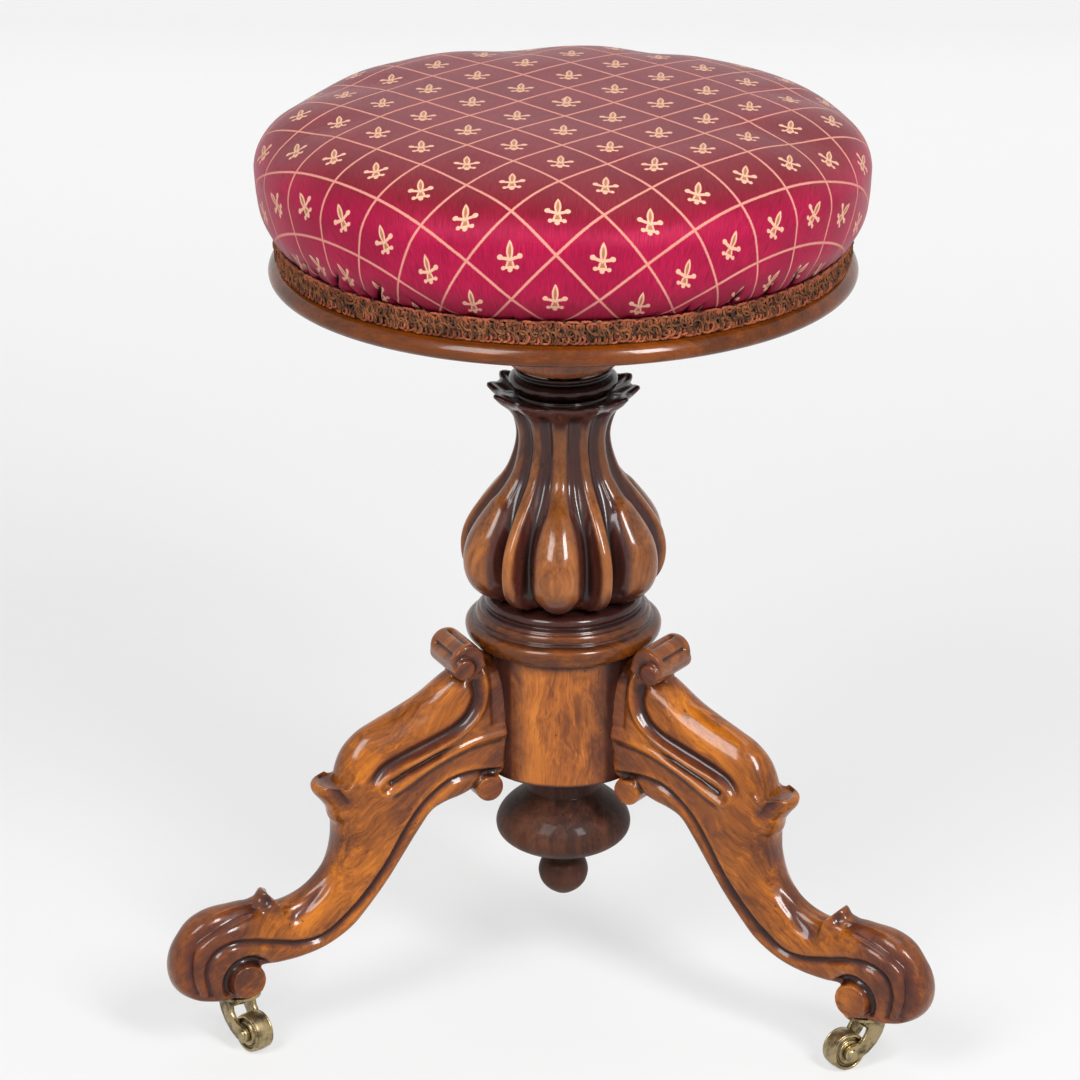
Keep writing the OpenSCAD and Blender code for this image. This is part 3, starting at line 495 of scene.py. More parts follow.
def metal(name, color, dark, rough, patina=0.5):
    """Metal that was polished long ago: dark in the hollows, brighter where hands and floors rub it."""
    look = Look(name)
    cloud = look.noise(look.place(), 130, 5, 0.6)
    fine = look.noise(look.place(), 1260, 3, 0.7)
    aged = look.step(0.42, 0.68, cloud * 0.8 + fine * 0.2)
    color = look.blend(aged * patina, color, dark)
    color = look.blend(look.step(0.55, 0.85, look.attribute("wear")), color, times(0.35, dark))
    look.set(Base_Color=color, Metallic=0.92, Roughness=aged * 0.2 + rough,
             Normal=look.bump(cloud + fine * 0.15, 0.25, 0.0004))
    return look.material


def yarn(name, light, dark):
    look = Look(name)
    fibre = look.noise(look.place(), 1500, 3, 0.7)
    patch = look.step(0.42, 0.62, look.noise(look.place(), 160))
    color = look.blend(look.step(0.3, 0.7, fibre) * 0.8, dark, light)
    color = look.blend(patch * 0.7, color, times(0.5, dark))
    look.set(Base_Color=color, Roughness=0.75, Specular_IOR_Level=0.25, Normal=look.bump(fibre, 0.6, 0.0004))
    return look.material


def leather(name, light, dark):
    look = Look(name)
    color = look.blend(look.noise(look.place(), 400), dark, light)
    look.set(Base_Color=color, Roughness=0.7, Normal=look.bump(look.cells(look.place(), 900), 0.4, 0.0004))
    return look.material


# Colours, as the photograph shows them
# Colour laid in the hollows: partly old polish and dirt, partly painted shade
GRIME_AND_SHADE = (0.013, 0.005, 0.004)

walnut_leg = wood("polished_walnut", (0.44, 0.133, 0.008), (0.265, 0.073, 0.006), (0.100, 0.025, 0.004),
                  turn=(0, -38, 0), burr=0.6, coat=0.42, stain=0.6)
walnut_burr = wood("burr_walnut", (0.45, 0.142, 0.018), (0.30, 0.085, 0.011), (0.125, 0.031, 0.006),
                   burr=0.6, rough=0.28, coat=0.42, stain=0.6)
walnut_rim = wood("rim_walnut", (0.145, 0.033, 0.002), (0.066, 0.014, 0.001), (0.022, 0.005, 0.001),
                  turn=(0, 0, 20), burr=0.3, rough=0.18, coat=0.36)
walnut_column = wood("column_walnut", (0.32, 0.108, 0.024), (0.18, 0.054, 0.012), (0.062, 0.017, 0.006),
                     burr=0.5, stain=0.6)
walnut_collar = wood("collar_walnut", (0.18, 0.048, 0.006), (0.086, 0.021, 0.003), (0.031, 0.008, 0.002),
                     turn=(0, 0, 0), burr=0.2, rough=0.2, coat=0.4)
walnut_dark = wood("dark_walnut", (0.27, 0.082, 0.030), (0.155, 0.043, 0.017), (0.060, 0.017, 0.008))
ebonised = wood("ebonised_walnut", (0.100, 0.036, 0.019), (0.058, 0.021, 0.012), (0.024, 0.009, 0.006),
                rough=0.48, coat=0.08)
ebonised_ring = wood("ring_walnut", (0.042, 0.014, 0.010), (0.026, 0.009, 0.007), (0.012, 0.005, 0.004),
                     rough=0.2)
beech = wood("beech", (0.60, 0.40, 0.22), (0.50, 0.31, 0.16), (0.38, 0.22, 0.10),
             turn=(0, 0, 0), rough=0.5, coat=0.0, stain=0.1, uses_wear=False)
brass = metal("aged_brass", (0.38, 0.295, 0.155), (0.045, 0.032, 0.018), 0.27, 1.0)
nut_brass = metal("nut_brass", (0.66, 0.48, 0.22), (0.28, 0.19, 0.09), 0.28)
steel = metal("screw_steel", (0.42, 0.41, 0.40), (0.11, 0.095, 0.085), 0.34)
iron = metal("plate_iron", (0.20, 0.20, 0.20), (0.07, 0.055, 0.05), 0.5)
washer_leather = leather("washer_leather", (0.28, 0.14, 0.07), (0.16, 0.07, 0.03))
gimp_brown = yarn("gimp_brown", (0.46, 0.125, 0.056), (0.14, 0.032, 0.012))
gimp_gold = yarn("gimp_gold", (0.28, 0.092, 0.030), (0.085, 0.028, 0.009))
gimp_dark = yarn("gimp_dark", (0.11, 0.038, 0.014), (0.025, 0.008, 0.004))
horsehair = yarn("horsehair", (0.16, 0.11, 0.07), (0.06, 0.04, 0.025))


# Turned pieces: outlines in shares of the largest radius and of the height

NOSE_SHARES = shares((900, 0), (915, 12), (935, 50), (960, 100), (984, 200), (996, 340), (1000, 500),
                     (998, 660), (991, 820), (981, 930), (967, 1000))
BOSS_SHARES = shares((780, 0), (870, 20), (960, 65), (1000, 130), (1000, 190), (940, 215), (930, 250),
                     (990, 310), (1100, 400), (1280, 500), (1500, 590), (1660, 660))
COLLAR_SHARES = shares((930, 0), (965, 60), (990, 150), (1000, 260), (995, 340), (975, 400), (940, 440),
                       (915, 450), (915, 490), (897, 500), (893, 570), (875, 650), (855, 670), (845, 720),
                       (825, 745), (790, 755), (790, 800), (800, 850), (795, 910), (775, 960), (740, 990),
                       (700, 1000))
COLLAR_SHADE = shares((0, 150), (400, 100), (460, 700), (520, 350), (660, 400), (740, 950), (1000, 1000))
RING_SHARES = shares((900, 0), (880, 120), (960, 260), (1000, 420), (990, 580), (930, 700), (860, 740),
                     (860, 840), (900, 900), (900, 980), (880, 1000))
FINIAL_SHARES = shares((140, 10), (250, 45), (330, 90), (365, 140), (368, 180), (335, 230), (280, 265),
                       (270, 290), (310, 312), (440, 339), (620, 366), (790, 400), (915, 440), (980, 480),
                       (1000, 525), (985, 565), (940, 610), (860, 655), (760, 695), (660, 730), (575, 765),
                       (540, 790), (540, 860), (600, 900), (700, 940), (740, 1000))
BOSS_BEAD_R = 34
RING_H, RING_R = 15, 31
TENON_R = 20
BORE_R = 13
NUT_R, NUT_FLANGE_T = 15, 4
PEG_R = 11
PLATE_T, PLATE_R = 4, 40
EASE = 0.8
GAP = 0.1
crown_z = column_z1 - RING_H


def make_rim():
    nose = turned_curve(NOSE_SHARES, rim_r, rim_z0, rim_z1 - rim_z0, 0.7)
    inner = [[board_r + GAP, rim_z1], [board_r + GAP, board_z0], [boss_flange_r + GAP, board_z0],
             [boss_flange_r + GAP, rim_z0]]
    flat = even([inner[-1], nose[0]], 4)[1:-1]
    edge = even([nose[-1], inner[0]], 1.5)[1:-1]
    return lathe("seat_rim_turned", np.vstack([flat, nose, edge, inner]), walnut_rim, steps=320)


def make_boss():
    height = boss_z1 + GAP - boss_z0
    flange_z, chamfer = boss_z1 + GAP - 0.24 * height, 0.055 * height
    outer = turned_curve(BOSS_SHARES, BOSS_BEAD_R, boss_z0, height)
    under_plate, hole_r = board_z0 - PLATE_T - GAP, screw_r + 0.5
    flange = [[boss_flange_r - chamfer, flange_z], [boss_flange_r, flange_z + chamfer],
              [boss_flange_r, boss_z1], [PLATE_R + 2 * GAP, boss_z1], [PLATE_R + 2 * GAP, under_plate],
              [hole_r, under_plate], [hole_r, boss_z0]]
    return lathe("seat_boss_turned", np.vstack([outer, even(flange, 2)]), walnut_dark)


def make_collar():
    outer = turned_curve(COLLAR_SHARES, collar_r, hub_z1, collar_z1 - hub_z1, 0.6)
    bore = even([outer[-1], [TENON_R + GAP, collar_z1], [TENON_R + GAP, hub_z1], outer[0]], 2)
    # Painted shade by level, darkest at the top under the vase
    shade = [(mix(hub_z1, collar_z1, share), value) for share, value in COLLAR_SHADE]
    return lathe("collar_turned", np.vstack([outer, bore[1:-1]]), walnut_collar, wear=(0.4, 16), shade=shade)


def make_finial():
    height = hub_z0 - GAP - finial_z0
    outer = turned_curve(FINIAL_SHARES, finial_r, finial_z0, height, 0.7)
    peg = even([outer[-1], [PEG_R, finial_z0 + height], [PEG_R, finial_peg_z1]], 2)
    return lathe("finial_turned", np.vstack([outer, peg[1:]]), ebonised, closed=False)


def make_hub():
    """The hub, with its sockets for the column's tenon and the finial's peg, and eased edges."""
    socket_z = tenon_z0 - GAP
    outline = [[PEG_R + GAP, hub_z0], [hub_r - EASE, hub_z0], [hub_r - 0.3 * EASE, hub_z0 + 0.3 * EASE],
               [hub_r, hub_z0 + EASE], [hub_r, hub_z1 - EASE], [hub_r - EASE, hub_z1],
               [TENON_R + GAP, hub_z1], [TENON_R + GAP, socket_z], [PEG_R + GAP, socket_z]]
    hub = lathe("hub_turned", even(outline + outline[:1], 1.2)[:-1], walnut_burr)
    x, y, z = points_of(hub.data).T / MM
    angle = np.degrees(np.arctan2(y, x))
    # Painted shade beside the legs and in the corners at the top and bottom, laid into both the wear and the
    # shade attributes
    hub_shade = np.maximum(smooth_step(hub_z1 - 7, hub_z1, z), smooth_step(hub_z0 + 3, hub_z0, z))
    for leg in LEG_ANGLES.values():
        off = np.abs((angle - leg + 180) % 360 - 180) * math.pi / 180 * hub_r
        hub_shade = np.maximum(hub_shade, np.maximum(smooth_step(26, 19, off), 0.7 * smooth_step(42, 20, off)))
    set_attribute(hub.data, "wear", 0.5 + 0.3 * hub_shade)
    set_attribute(hub.data, "shade", 0.9 * hub_shade)
    return hub


# The carved column

LOBES = 6
LOBE_ANGLE = 30
COLUMN_LEVELS = shares(0, 25, 60, 100, 150, 200, 260, 320, 380, 440, 500, 560, 620, 680, 740, 800, 860, 910,
                       940, 970, 1000)
COLUMN_SWELL = shares(280, 520, 740, 880, 965, 1000, 995, 940, 830, 680, 510, 330, 180, 90, 30, *[0] * 6)
COLUMN_FLARE = shares(*[0] * 15, 20, 100, 250, 450, 780, 1000)
BULB_R, NECK_R, CROWN_R = 61.5, 27, 43.5
FLUTE_FLOOR = 0.4
RIB_TOP = 0.84
STEM_DEPTH = 1.1
TIP_RISE = 2
# The crown's lip, turning inward: share of its radius and height over its edge
LIP = [(0.995, 1.4), (0.96, 2.2), (0.9, 1.6), (0.84, 0.2), (0.76, -1.2)]


def from_lobe(angle):
    """0 on the middle of a lobe, 1 on the middle of a rib."""
    return np.abs(((angle - LOBE_ANGLE) * LOBES / 360 + 100.5) % 1 - 0.5) * 2


def carving(angle, swell, level):
    """Height across a lobe, a flute and a rib: 1 on the middle of a lobe, less on a rib and in a flute."""
    t = from_lobe(angle)
    lobe_share = mix(0.34, 0.53, smooth_step(0.3, 0.95, swell)) * mix(0.62, 1, smooth_step(0, 0.15, level))
    rib_share = mix(0.24, 0.15, swell)
    lobe = np.sqrt(np.clip(1 - RIB_TOP * (t / lobe_share) ** 2, 0, 1))
    rib = RIB_TOP - 0.44 * ((1 - t) / rib_share) ** 4
    floor = FLUTE_FLOOR * (2 * (t - lobe_share) / (1 - rib_share - lobe_share) - 1) ** 2
    return np.where(t < lobe_share, lobe, np.where(t > 1 - rib_share, rib, floor))


def column_surface(level, angle):
    """Radius and painted shade of the carved surface at a share of the height and an angle in degrees."""
    swell, flare = (np.interp(level, *spline(np.column_stack([COLUMN_LEVELS, part]), 6).T)
                    for part in (COLUMN_SWELL, COLUMN_FLARE))
    raised = carving(angle, swell, level)
    carved = 1 - smooth_step(0.5, 1, flare)
    body = mix(NECK_R, BULB_R, swell) * (1 - (0.11 + 0.15 * swell) * carved * (1 - raised))
    # Each lobe is an egg, and its stem lies a little lower
    on_lobe = smooth_step(0.35, 0.5, raised) * (from_lobe(angle) < 0.5)
    stem = on_lobe * smooth_step(0.51, 0.55, level + 0.09 * (1 - raised)) * (1 - smooth_step(0.6, 0.8, level))
    leaves = 0.76 + 0.24 * np.abs(np.cos(np.radians(angle) * LOBES)) ** mix(2, 4, flare)
    # Painted shade in the flutes, on the crown and low on the vase
    dark = np.maximum(smooth_step(0.96, 0.45, raised) * carved, smooth_step(0.0, 0.3, flare))
    dark = np.maximum(dark, 0.8 * smooth_step(0.24, 0.05, level))
    return body - STEM_DEPTH * stem + (CROWN_R - NECK_R) * flare * leaves, dark


def make_column():
    """The vase with its bore, as one carved skin that turns over the crown and down the inside."""
    rows, cols = 150, 432
    angle = np.arange(cols) * 360 / cols
    level = np.linspace(0, 1, rows)[:, None]
    r, dark = column_surface(level, angle[None])
    tips = TIP_RISE * np.abs(np.cos(np.radians(angle) * LOBES)) ** 4
    z = collar_z1 + (crown_z - collar_z1) * level + tips * smooth_step(0.9, 1, level)
    lip_r = [r[-1] * share for share, _ in LIP]
    lip_z = [crown_z + rise + tips * (share - LIP[-1][0]) / 0.24 for share, rise in LIP]
    bore = [(NUT_R + GAP, crown_z - 1.2), (NUT_R + GAP, nut_z0 - GAP), (BORE_R, nut_z0 - GAP),
            (BORE_R, collar_z1)]
    radius = np.vstack([r, *lip_r] + [np.full(cols, edge) for edge, _ in bore])
    height = np.vstack([z, *lip_z] + [np.full(cols, edge) for _, edge in bore])
    verts = around(radius, np.radians(angle), height).reshape(-1, 3)
    column = new_object("column_carved", verts, grid_faces(len(radius), cols, wrap_rows=True), walnut_column)
    mark_wear(column, 1.1, 60)
    # The crown's lip and the bore inside are painted fully shaded
    set_attribute(column.data, "shade", np.append(dark, np.ones((len(radius) - rows) * cols)))
    under_flange, inside = column_z1 - NUT_FLANGE_T - GAP, crown_z - 6
    bore = [[nut_flange_r + 2 * GAP, column_z1], [nut_flange_r + 2 * GAP, under_flange],
            [NUT_R + GAP, under_flange], [NUT_R + GAP, inside], [RING_R * 0.93, inside]]
    ring = np.vstack([turned_curve(RING_SHARES, RING_R, crown_z, RING_H, 0.6), even(bore, 2)])
    tenon = [[TENON_R, tenon_z0], [TENON_R, collar_z1], [BORE_R, collar_z1], [BORE_R, tenon_z0]]
    return (column, lathe("column_ring", ring, ebonised_ring, wear=(0.3, 20)),
            lathe("column_tenon", even(tenon + tenon[:1], 3)[:-1], walnut_dark))


# The carved legs
# A leg is made along X. Its outlines are in shares of the distance from hub to tip and of the
# rise from foot to hub. Its sides are carved to a depth that is read from lines drawn on them.

TOP = shares((-30, 985), (60, 985), (140, 935), (210, 885), (280, 850), (350, 820), (410, 790), (458, 735),
             (483, 645), (488, 545), (490, 460), (507, 388), (540, 340), (588, 300), (647, 277), (702, 277),
             (752, 298), (812, 300), (880, 292), (940, 260), (982, 200), (1000, 130), (990, 65), (955, 25),
             (900, 10), (840, 6), (780, 8), (740, 22))
UNDER = shares((-30, 600), (70, 562), (120, 543), (168, 532), (212, 510), (252, 455), (287, 400), (317, 353),
               (347, 307), (379, 262), (416, 215), (455, 172), (500, 140), (554, 115), (620, 101), (685, 98),
               (730, 103), (760, 100), (775, 100), (785, 95), (790, 85), (793, 75), (792, 66), (790, 60),
               (785, 55), (778, 52), (770, 52), (760, 55))
WIDTHS = shares(*[1000] * 8, 850, 550, 300, 150, 50, 0, 0, 100, 500, 900, *[1000] * 10)
ANKLE_STATION = 13
LEG_W, ANKLE_W, FOOT_W = 35, 29, 36
# Half section: share of the half width, then share of the way from the under edge to the back
SECTION = shares((0, 0), (500, 4), (780, 18), (910, 60), (965, 140), (990, 280), (1000, 420), (985, 550),
                 (940, 670), (860, 780), (720, 870), (520, 940), (270, 985), (0, 1000))
EYE, EYE_R, EYE_W = (0.793, 0.073), 10.5, 38.4
ROLL, ROLL_R, ROLL_W = (0.097, 1.0), 10, 33.5
BUTTON, BUTTON_R, BUTTON_W = (0.111, 0.978), 6.5, 37.4
CURL, CURL_R, CURL_W = (0.035, 0.563), 8.3, 36.4
KNEE_LEAF = shares((440, 670), (482, 638), (510, 636), (537, 650), (552, 645), (549, 622), (527, 592),
                   (508, 560), (495, 515), (440, 520))
ANKLE_LEAF = shares((660, 240), (688, 290), (700, 315), (712, 332), (722, 328), (738, 304), (770, 294),
                    (780, 240))
PAD_SHARE, PAD_H = 0.787, 8
ROUND_SIDES = 48
LEG_VOXEL = 0.75
WORN_PLACE, WORN_R = (194, 60), 13
FLUTE_TURNS, FLUTE_DEPTH = (25, 95), 2.2


def leg_points(points):
    return np.asarray(points, float) * [leg_span, leg_rise] + [hub_r, foot_z]


def side_line(points):
    """A smooth line on a leg's side, from points in millimetres from the axis and above the foot."""
    return even(spline(np.asarray(points, float) + [0, foot_z], 6), 1.2)


def leg_body():
    width = [mix(ANKLE_W, LEG_W if k < ANKLE_STATION else FOOT_W, w) for k, w in enumerate(WIDTHS)]
    stations = spline(np.column_stack([leg_points(TOP), leg_points(UNDER), width]), 5)
    back_x, back_z, under_x, under_z, width = stations.T[:, :, None]
    half = spline(SECTION, 3)
    side, up = np.vstack([half, half[-2:0:-1] * [-1, 1]]).T
    return solid(np.stack([mix(under_x, back_x, up), side * width / 2, mix(under_z, back_z, up)], -1))


def drum(*rows):
    """Rings of points about the axis, from radii and levels."""
    return around(np.array(rows)[:, :1], round_angles(ROUND_SIDES), np.array(rows)[:, 1:])


def across(share, radius, width):
    """A round across the leg, with eased ends."""
    x, z = leg_points(share)
    rings = drum((radius - EASE, -width / 2), (radius, EASE - width / 2), (radius, width / 2 - EASE),
                 (radius - EASE, width / 2))
    return solid(rings[..., [0, 2, 1]] + [x, 0, z])


def foot_pad():
    """The round face under the foot, where the caster's plate is screwed on."""
    return solid(drum((plate_r, foot_z), (plate_r, foot_z + PAD_H)) + [hub_r + leg_span * PAD_SHARE, 0, 0])


def leaf(points, width, thin, rows=13):
    """A leaf across the leg, narrower at its tip."""
    edge = leg_points(spline(np.vstack([points, points[:1]]), 4)[:-1])
    rings = []
    for k in np.linspace(-1, 1, rows):
        shrink = math.sqrt(max(0, 1 - (abs(k) * thin) ** 2))
        x, z = (edge[0] + (edge - edge[0]) * [shrink, mix(1, shrink, 0.5)]).T
        rings.append(np.column_stack([x, np.full(len(edge), k * width / 2), z]))
    return solid(np.array(rings))


# Lines carved on a leg's side: distance from the axis and height above the foot, in millimetres
STRAP = [(59, 182), (56.5, 173), (57, 162), (61, 152), (69, 144), (80, 138), (97, 131.5), (113, 126.5),
         (121, 122.5), (125, 117.5), (121.5, 112.5), (113, 115), (97, 123.5), (80, 130.5), (63, 135.5),
         (46, 137)]
BODY_GROOVE = [(63, 173), (62.5, 161), (68, 150.5), (78, 144), (90, 139.5), (102, 135.5), (113, 131.5),
               (122, 127), (129, 119.5), (130, 111)]
STRAP_SLOT = [(119, 118), (111, 121.5), (99, 126.5), (87, 131), (75, 135)]
STRAP_FOOT = [(120, 108.5), (108, 112.5), (93, 120.5), (80, 126), (66, 130), (48, 132)]
UNDER_GROOVE = [(48, 112.5), (63, 114.5), (77, 113.5), (88, 108), (100, 97.5), (110, 83.5), (120, 67.5),
                (133, 50.5), (147, 37.5), (160, 29.5), (173, 28.5), (188, 32), (203, 37), (217, 38.5),
                (228, 33.5), (232.5, 22.5), (230, 7.5)]
FOOT_GROOVE = [(190, 55), (203, 54.5), (222, 50.5), (237, 42.5), (241.5, 34.5), (242.5, 20.5), (239, 8.5)]
SHIN_LINE = [(140, 100.5), (148, 82.5), (153, 70.5), (160, 58.5), (170, 48.5), (185, 41.5)]
KNEE_CREASE = [(138, 106), (145, 112), (151, 120)]
ANKLE_CREASE = [(190, 61), (192, 56)]
# Each line's width and depth, the shares that run out at its ends, the shade painted along it and how far
# that spreads
CUTS = [(STRAP, 1.9, -1.7, 0, 0, 0, 1), (BODY_GROOVE, 3.2, 3.6, 0.03, 0.22, 1.0, 1.5),
        (STRAP_SLOT, 1.5, 2.8, 0.04, 0.3, 0.95, 1.6), (STRAP_FOOT, 1.6, 1.3, 0.1, 0, 0.75, 1.5),
        (UNDER_GROOVE, 2.2, 2.8, 0, 0, 0.9, 1.4), (FOOT_GROOVE, 2.6, 3.4, 0.15, 0, 0.85, 2.2),
        (KNEE_CREASE, 2.4, 2.2, 0.4, 0, 0.8, 2.2), (ANKLE_CREASE, 2.4, 1.8, 0, 0, 0.8, 2.2),
        (SHIN_LINE, 4.0, 2.2, 0.25, 0.15, 0.85, 0.9)]
# Rings: centre, radius, width, depth, how much shade is painted in them, and the directions between which
# they fade in and out
ALL_ROUND = (-180, -179, 180, 179)
RINGS = [(EYE, EYE_R + 2.6, 2.3, 4.6, 1.0, (-80, -30, 180, 150)),
         (EYE, EYE_R - 2.8, 1.1, 0.8, 0.5, ALL_ROUND), (BUTTON, BUTTON_R + 1.2, 1.3, 1.2, 0.45, ALL_ROUND),
         (CURL, CURL_R + 1.2, 1.3, 1.2, 0.6, (-90, -60, 150, 110))]


def round_from(points, centre):
    """Distance and direction in degrees of the points from a centre on the leg's side."""
    x, z = (points - leg_points(centre)).T
    return np.hypot(x, z), np.degrees(np.arctan2(z, x))


def carve(points):
    """How deep the side of a leg is carved at each point, in millimetres, and how much shade is painted
    there.
    """
    depth, dark = np.zeros((2, len(points)))
    r, z = points[:, 0], points[:, 1] - foot_z
    for line, width, how_deep, start, end, shade, spread in CUTS:
        off, share, side = near_path(points, side_line(line))
        along = np.ones(len(points))
        if start:
            along = smooth_step(0, start, share)
        if end:
            along = along * smooth_step(1, 1 - end, share)
        depth += how_deep * along * bell(off, width)
        dark = np.maximum(dark, shade * along * bell(off, spread * width))
        if line is UNDER_GROOVE:
            under_off, under_side = off, side
    for centre, radius, width, how_deep, shade, arc in RINGS:
        off, turn = round_from(points, centre)
        along = smooth_step(*arc[:2], turn) * smooth_step(*arc[2:], turn)
        depth += how_deep * along * bell(off - radius, width)
        dark = np.maximum(dark, shade * along * bell(off - radius, 1.5 * width))
    # The face between the strap and the lower groove is hollowed, and so is the panel beside the hub
    strap_off, _, strap_side = near_path(points, side_line(STRAP[9:]))
    face = (smooth_step(1.5, 6, under_off) * (under_side > 0) * smooth_step(2.5, 8, strap_off)
            * (strap_side > 0) * smooth_step(135, 105, r) * (z > 60))
    panel = smooth_step(55, 53, r) * smooth_step(141, 144, z)
    # Painted shade is darkest in the hollowed face and panel, low on the leg, beside the hub, round the roll
    # and on the foot
    low = smooth_step(6, -6, np.where(under_side > 0, under_off, -under_off))
    roll = smooth_step(ROLL_R + 14, ROLL_R + 1, round_from(points, ROLL)[0])
    for share, place in ((0.4, low), (0.55, face), (0.65, panel), (0.68, smooth_step(188, 218, r)),
                         (0.6, smooth_step(72, 51, r)), (0.7, roll)):
        dark = np.maximum(dark, share * place)
    return depth + 1.3 * face + 1.2 * panel, dark


def make_leg_mesh():
    shells = [leg_body(), across(EYE, EYE_R, EYE_W), across(ROLL, ROLL_R, ROLL_W),
              across(CURL, CURL_R, CURL_W), across(BUTTON, BUTTON_R, BUTTON_W),
              leaf(KNEE_LEAF, 0.8 * LEG_W, 0.9), leaf(ANKLE_LEAF, 0.8 * ANKLE_W, 0.95), foot_pad()]
    verts, faces = np.zeros((0, 3)), []
    for shell in shells:
        part = new_object("shell", *shell, None)
        faces += [[i + len(verts) for i in face.vertices] for face in part.data.polygons]
        verts = np.vstack([verts, points_of(part.data) / MM])
        bpy.data.objects.remove(part)
    leg = new_object("leg_work", verts, faces, walnut_leg)
    apply(leg, "REMESH", mode="VOXEL", voxel_size=LEG_VOXEL * MM)
    mesh = leg.data
    edges = edges_of(mesh)
    co = smoothed(points_of(mesh), edges, 5)
    set_points(mesh, co)
    normal = normals_of(mesh)
    p = co / MM
    side = p[:, [0, 2]]
    facing = smooth_step(mix(0.25, 0.05, smooth_step(190, 215, p[:, 0])), 0.75, np.abs(normal[:, 1]))
    depth, dark = carve(side)
    off, turn = round_from(side, ROLL)
    on_roll = (np.abs(off - ROLL_R) < 1.5) * smooth_step(12.5, 10.5, np.abs(p[:, 1]))
    flutes = sum(bell(turn - at, 9) for at in FLUTE_TURNS) * on_roll
    # Painted shade in the roll's flutes and on faces that look down
    dark = np.maximum(dark * mix(0.75, 1, facing), 0.9 * flutes)
    dark = np.maximum(dark, 0.6 * smooth_step(-0.3, -0.8, normal[:, 2]))
    p -= normal * (depth * facing + FLUTE_DEPTH * flutes)[:, None]
    p = smoothed(p, edges, 2, 0.4)
    # The worn leaf at the ankle
    hollow_level = smooth_step(WORN_R, 7, np.hypot(*(p[:, [0, 2]] - WORN_PLACE - [0, foot_z]).T))[:, None]
    p = p + (smoothed(p, edges, 9) - p) * hollow_level
    short = np.hypot(p[:, 0], p[:, 1]) < hub_r + GAP
    p[short, 0] = np.sqrt(np.maximum((hub_r + GAP) ** 2 - p[short, 1] ** 2, 1))
    p[:, 2] = np.maximum(p[:, 2], foot_z)
    set_points(mesh, p * MM)
    set_smooth(mesh)
    mark_wear(leg, 0.9, 26)
    set_attribute(mesh, "shade", smoothed(dark[:, None], edges, 2)[:, 0])
    bpy.data.objects.remove(leg)
    return mesh


def make_legs():
    mesh = make_leg_mesh()
    for side, angle in LEG_ANGLES.items():
        leg = add_to_scene(f"leg_{side}_carved", mesh.copy())
        leg.matrix_world = Matrix.Rotation(math.radians(angle), 4, "Z")
        show(leg, "base", "walnut", f"leg_{side}")


# Upholstery

SIDE_FOOT, SIDE_TURN, SIDE_MID = 0.22, 0.34, 0.55
CUSHION_SIDE_SHARE = 0.593
CROWN_POWER = 0.4
COVER_T = 1.0
UNEVEN = 1.6
BULGE = 1.5
cushion_h = cushion_z1 - rim_z1
side_h = CUSHION_SIDE_SHARE * cushion_h
foot_r = board_r + 1.3
# The lattice: its size, its turn, how far it's off the middle, and how the cloth stretches at the edge
LATTICE_W, LATTICE_H = 51.0, 54.6
LATTICE_TURN = math.radians(1.65)
LATTICE_SIDE, LATTICE_BACK = 1.75, 3.7
EDGE_STRETCH = 0.11
GRAIN_PULL = 0.2
# Creases on the front: degrees from the middle, depth, height, and lean in degrees to a millimetre
CREASES = [(-58, 5.0, 18, -0.22), (-46, 3.5, 14, -0.2), (-32, 6.5, 27, -0.2), (-21, 4.0, 10, -0.4),
           (-11, 3.0, 8, -0.1), (10.5, 3.0, 9, 0.1), (27, 4.5, 13, 0.2), (37, 4.5, 16, 0.22),
           (48, 4.5, 16, 0.2)]
CREASE_WIDTH = 0.7
PLEATS = 64
LUMPS = 14
CLOTH_VOXEL, CLOTH_FRAMES, CLOTH_CAP = 5, 20, 6
# The stuffing inside the cover: share of its width, how much lower, and how far its foot draws in
STUFFING_SHARE, STUFFING_DROP, STUFFING_DRAW = 0.975, 3.2, 3.5


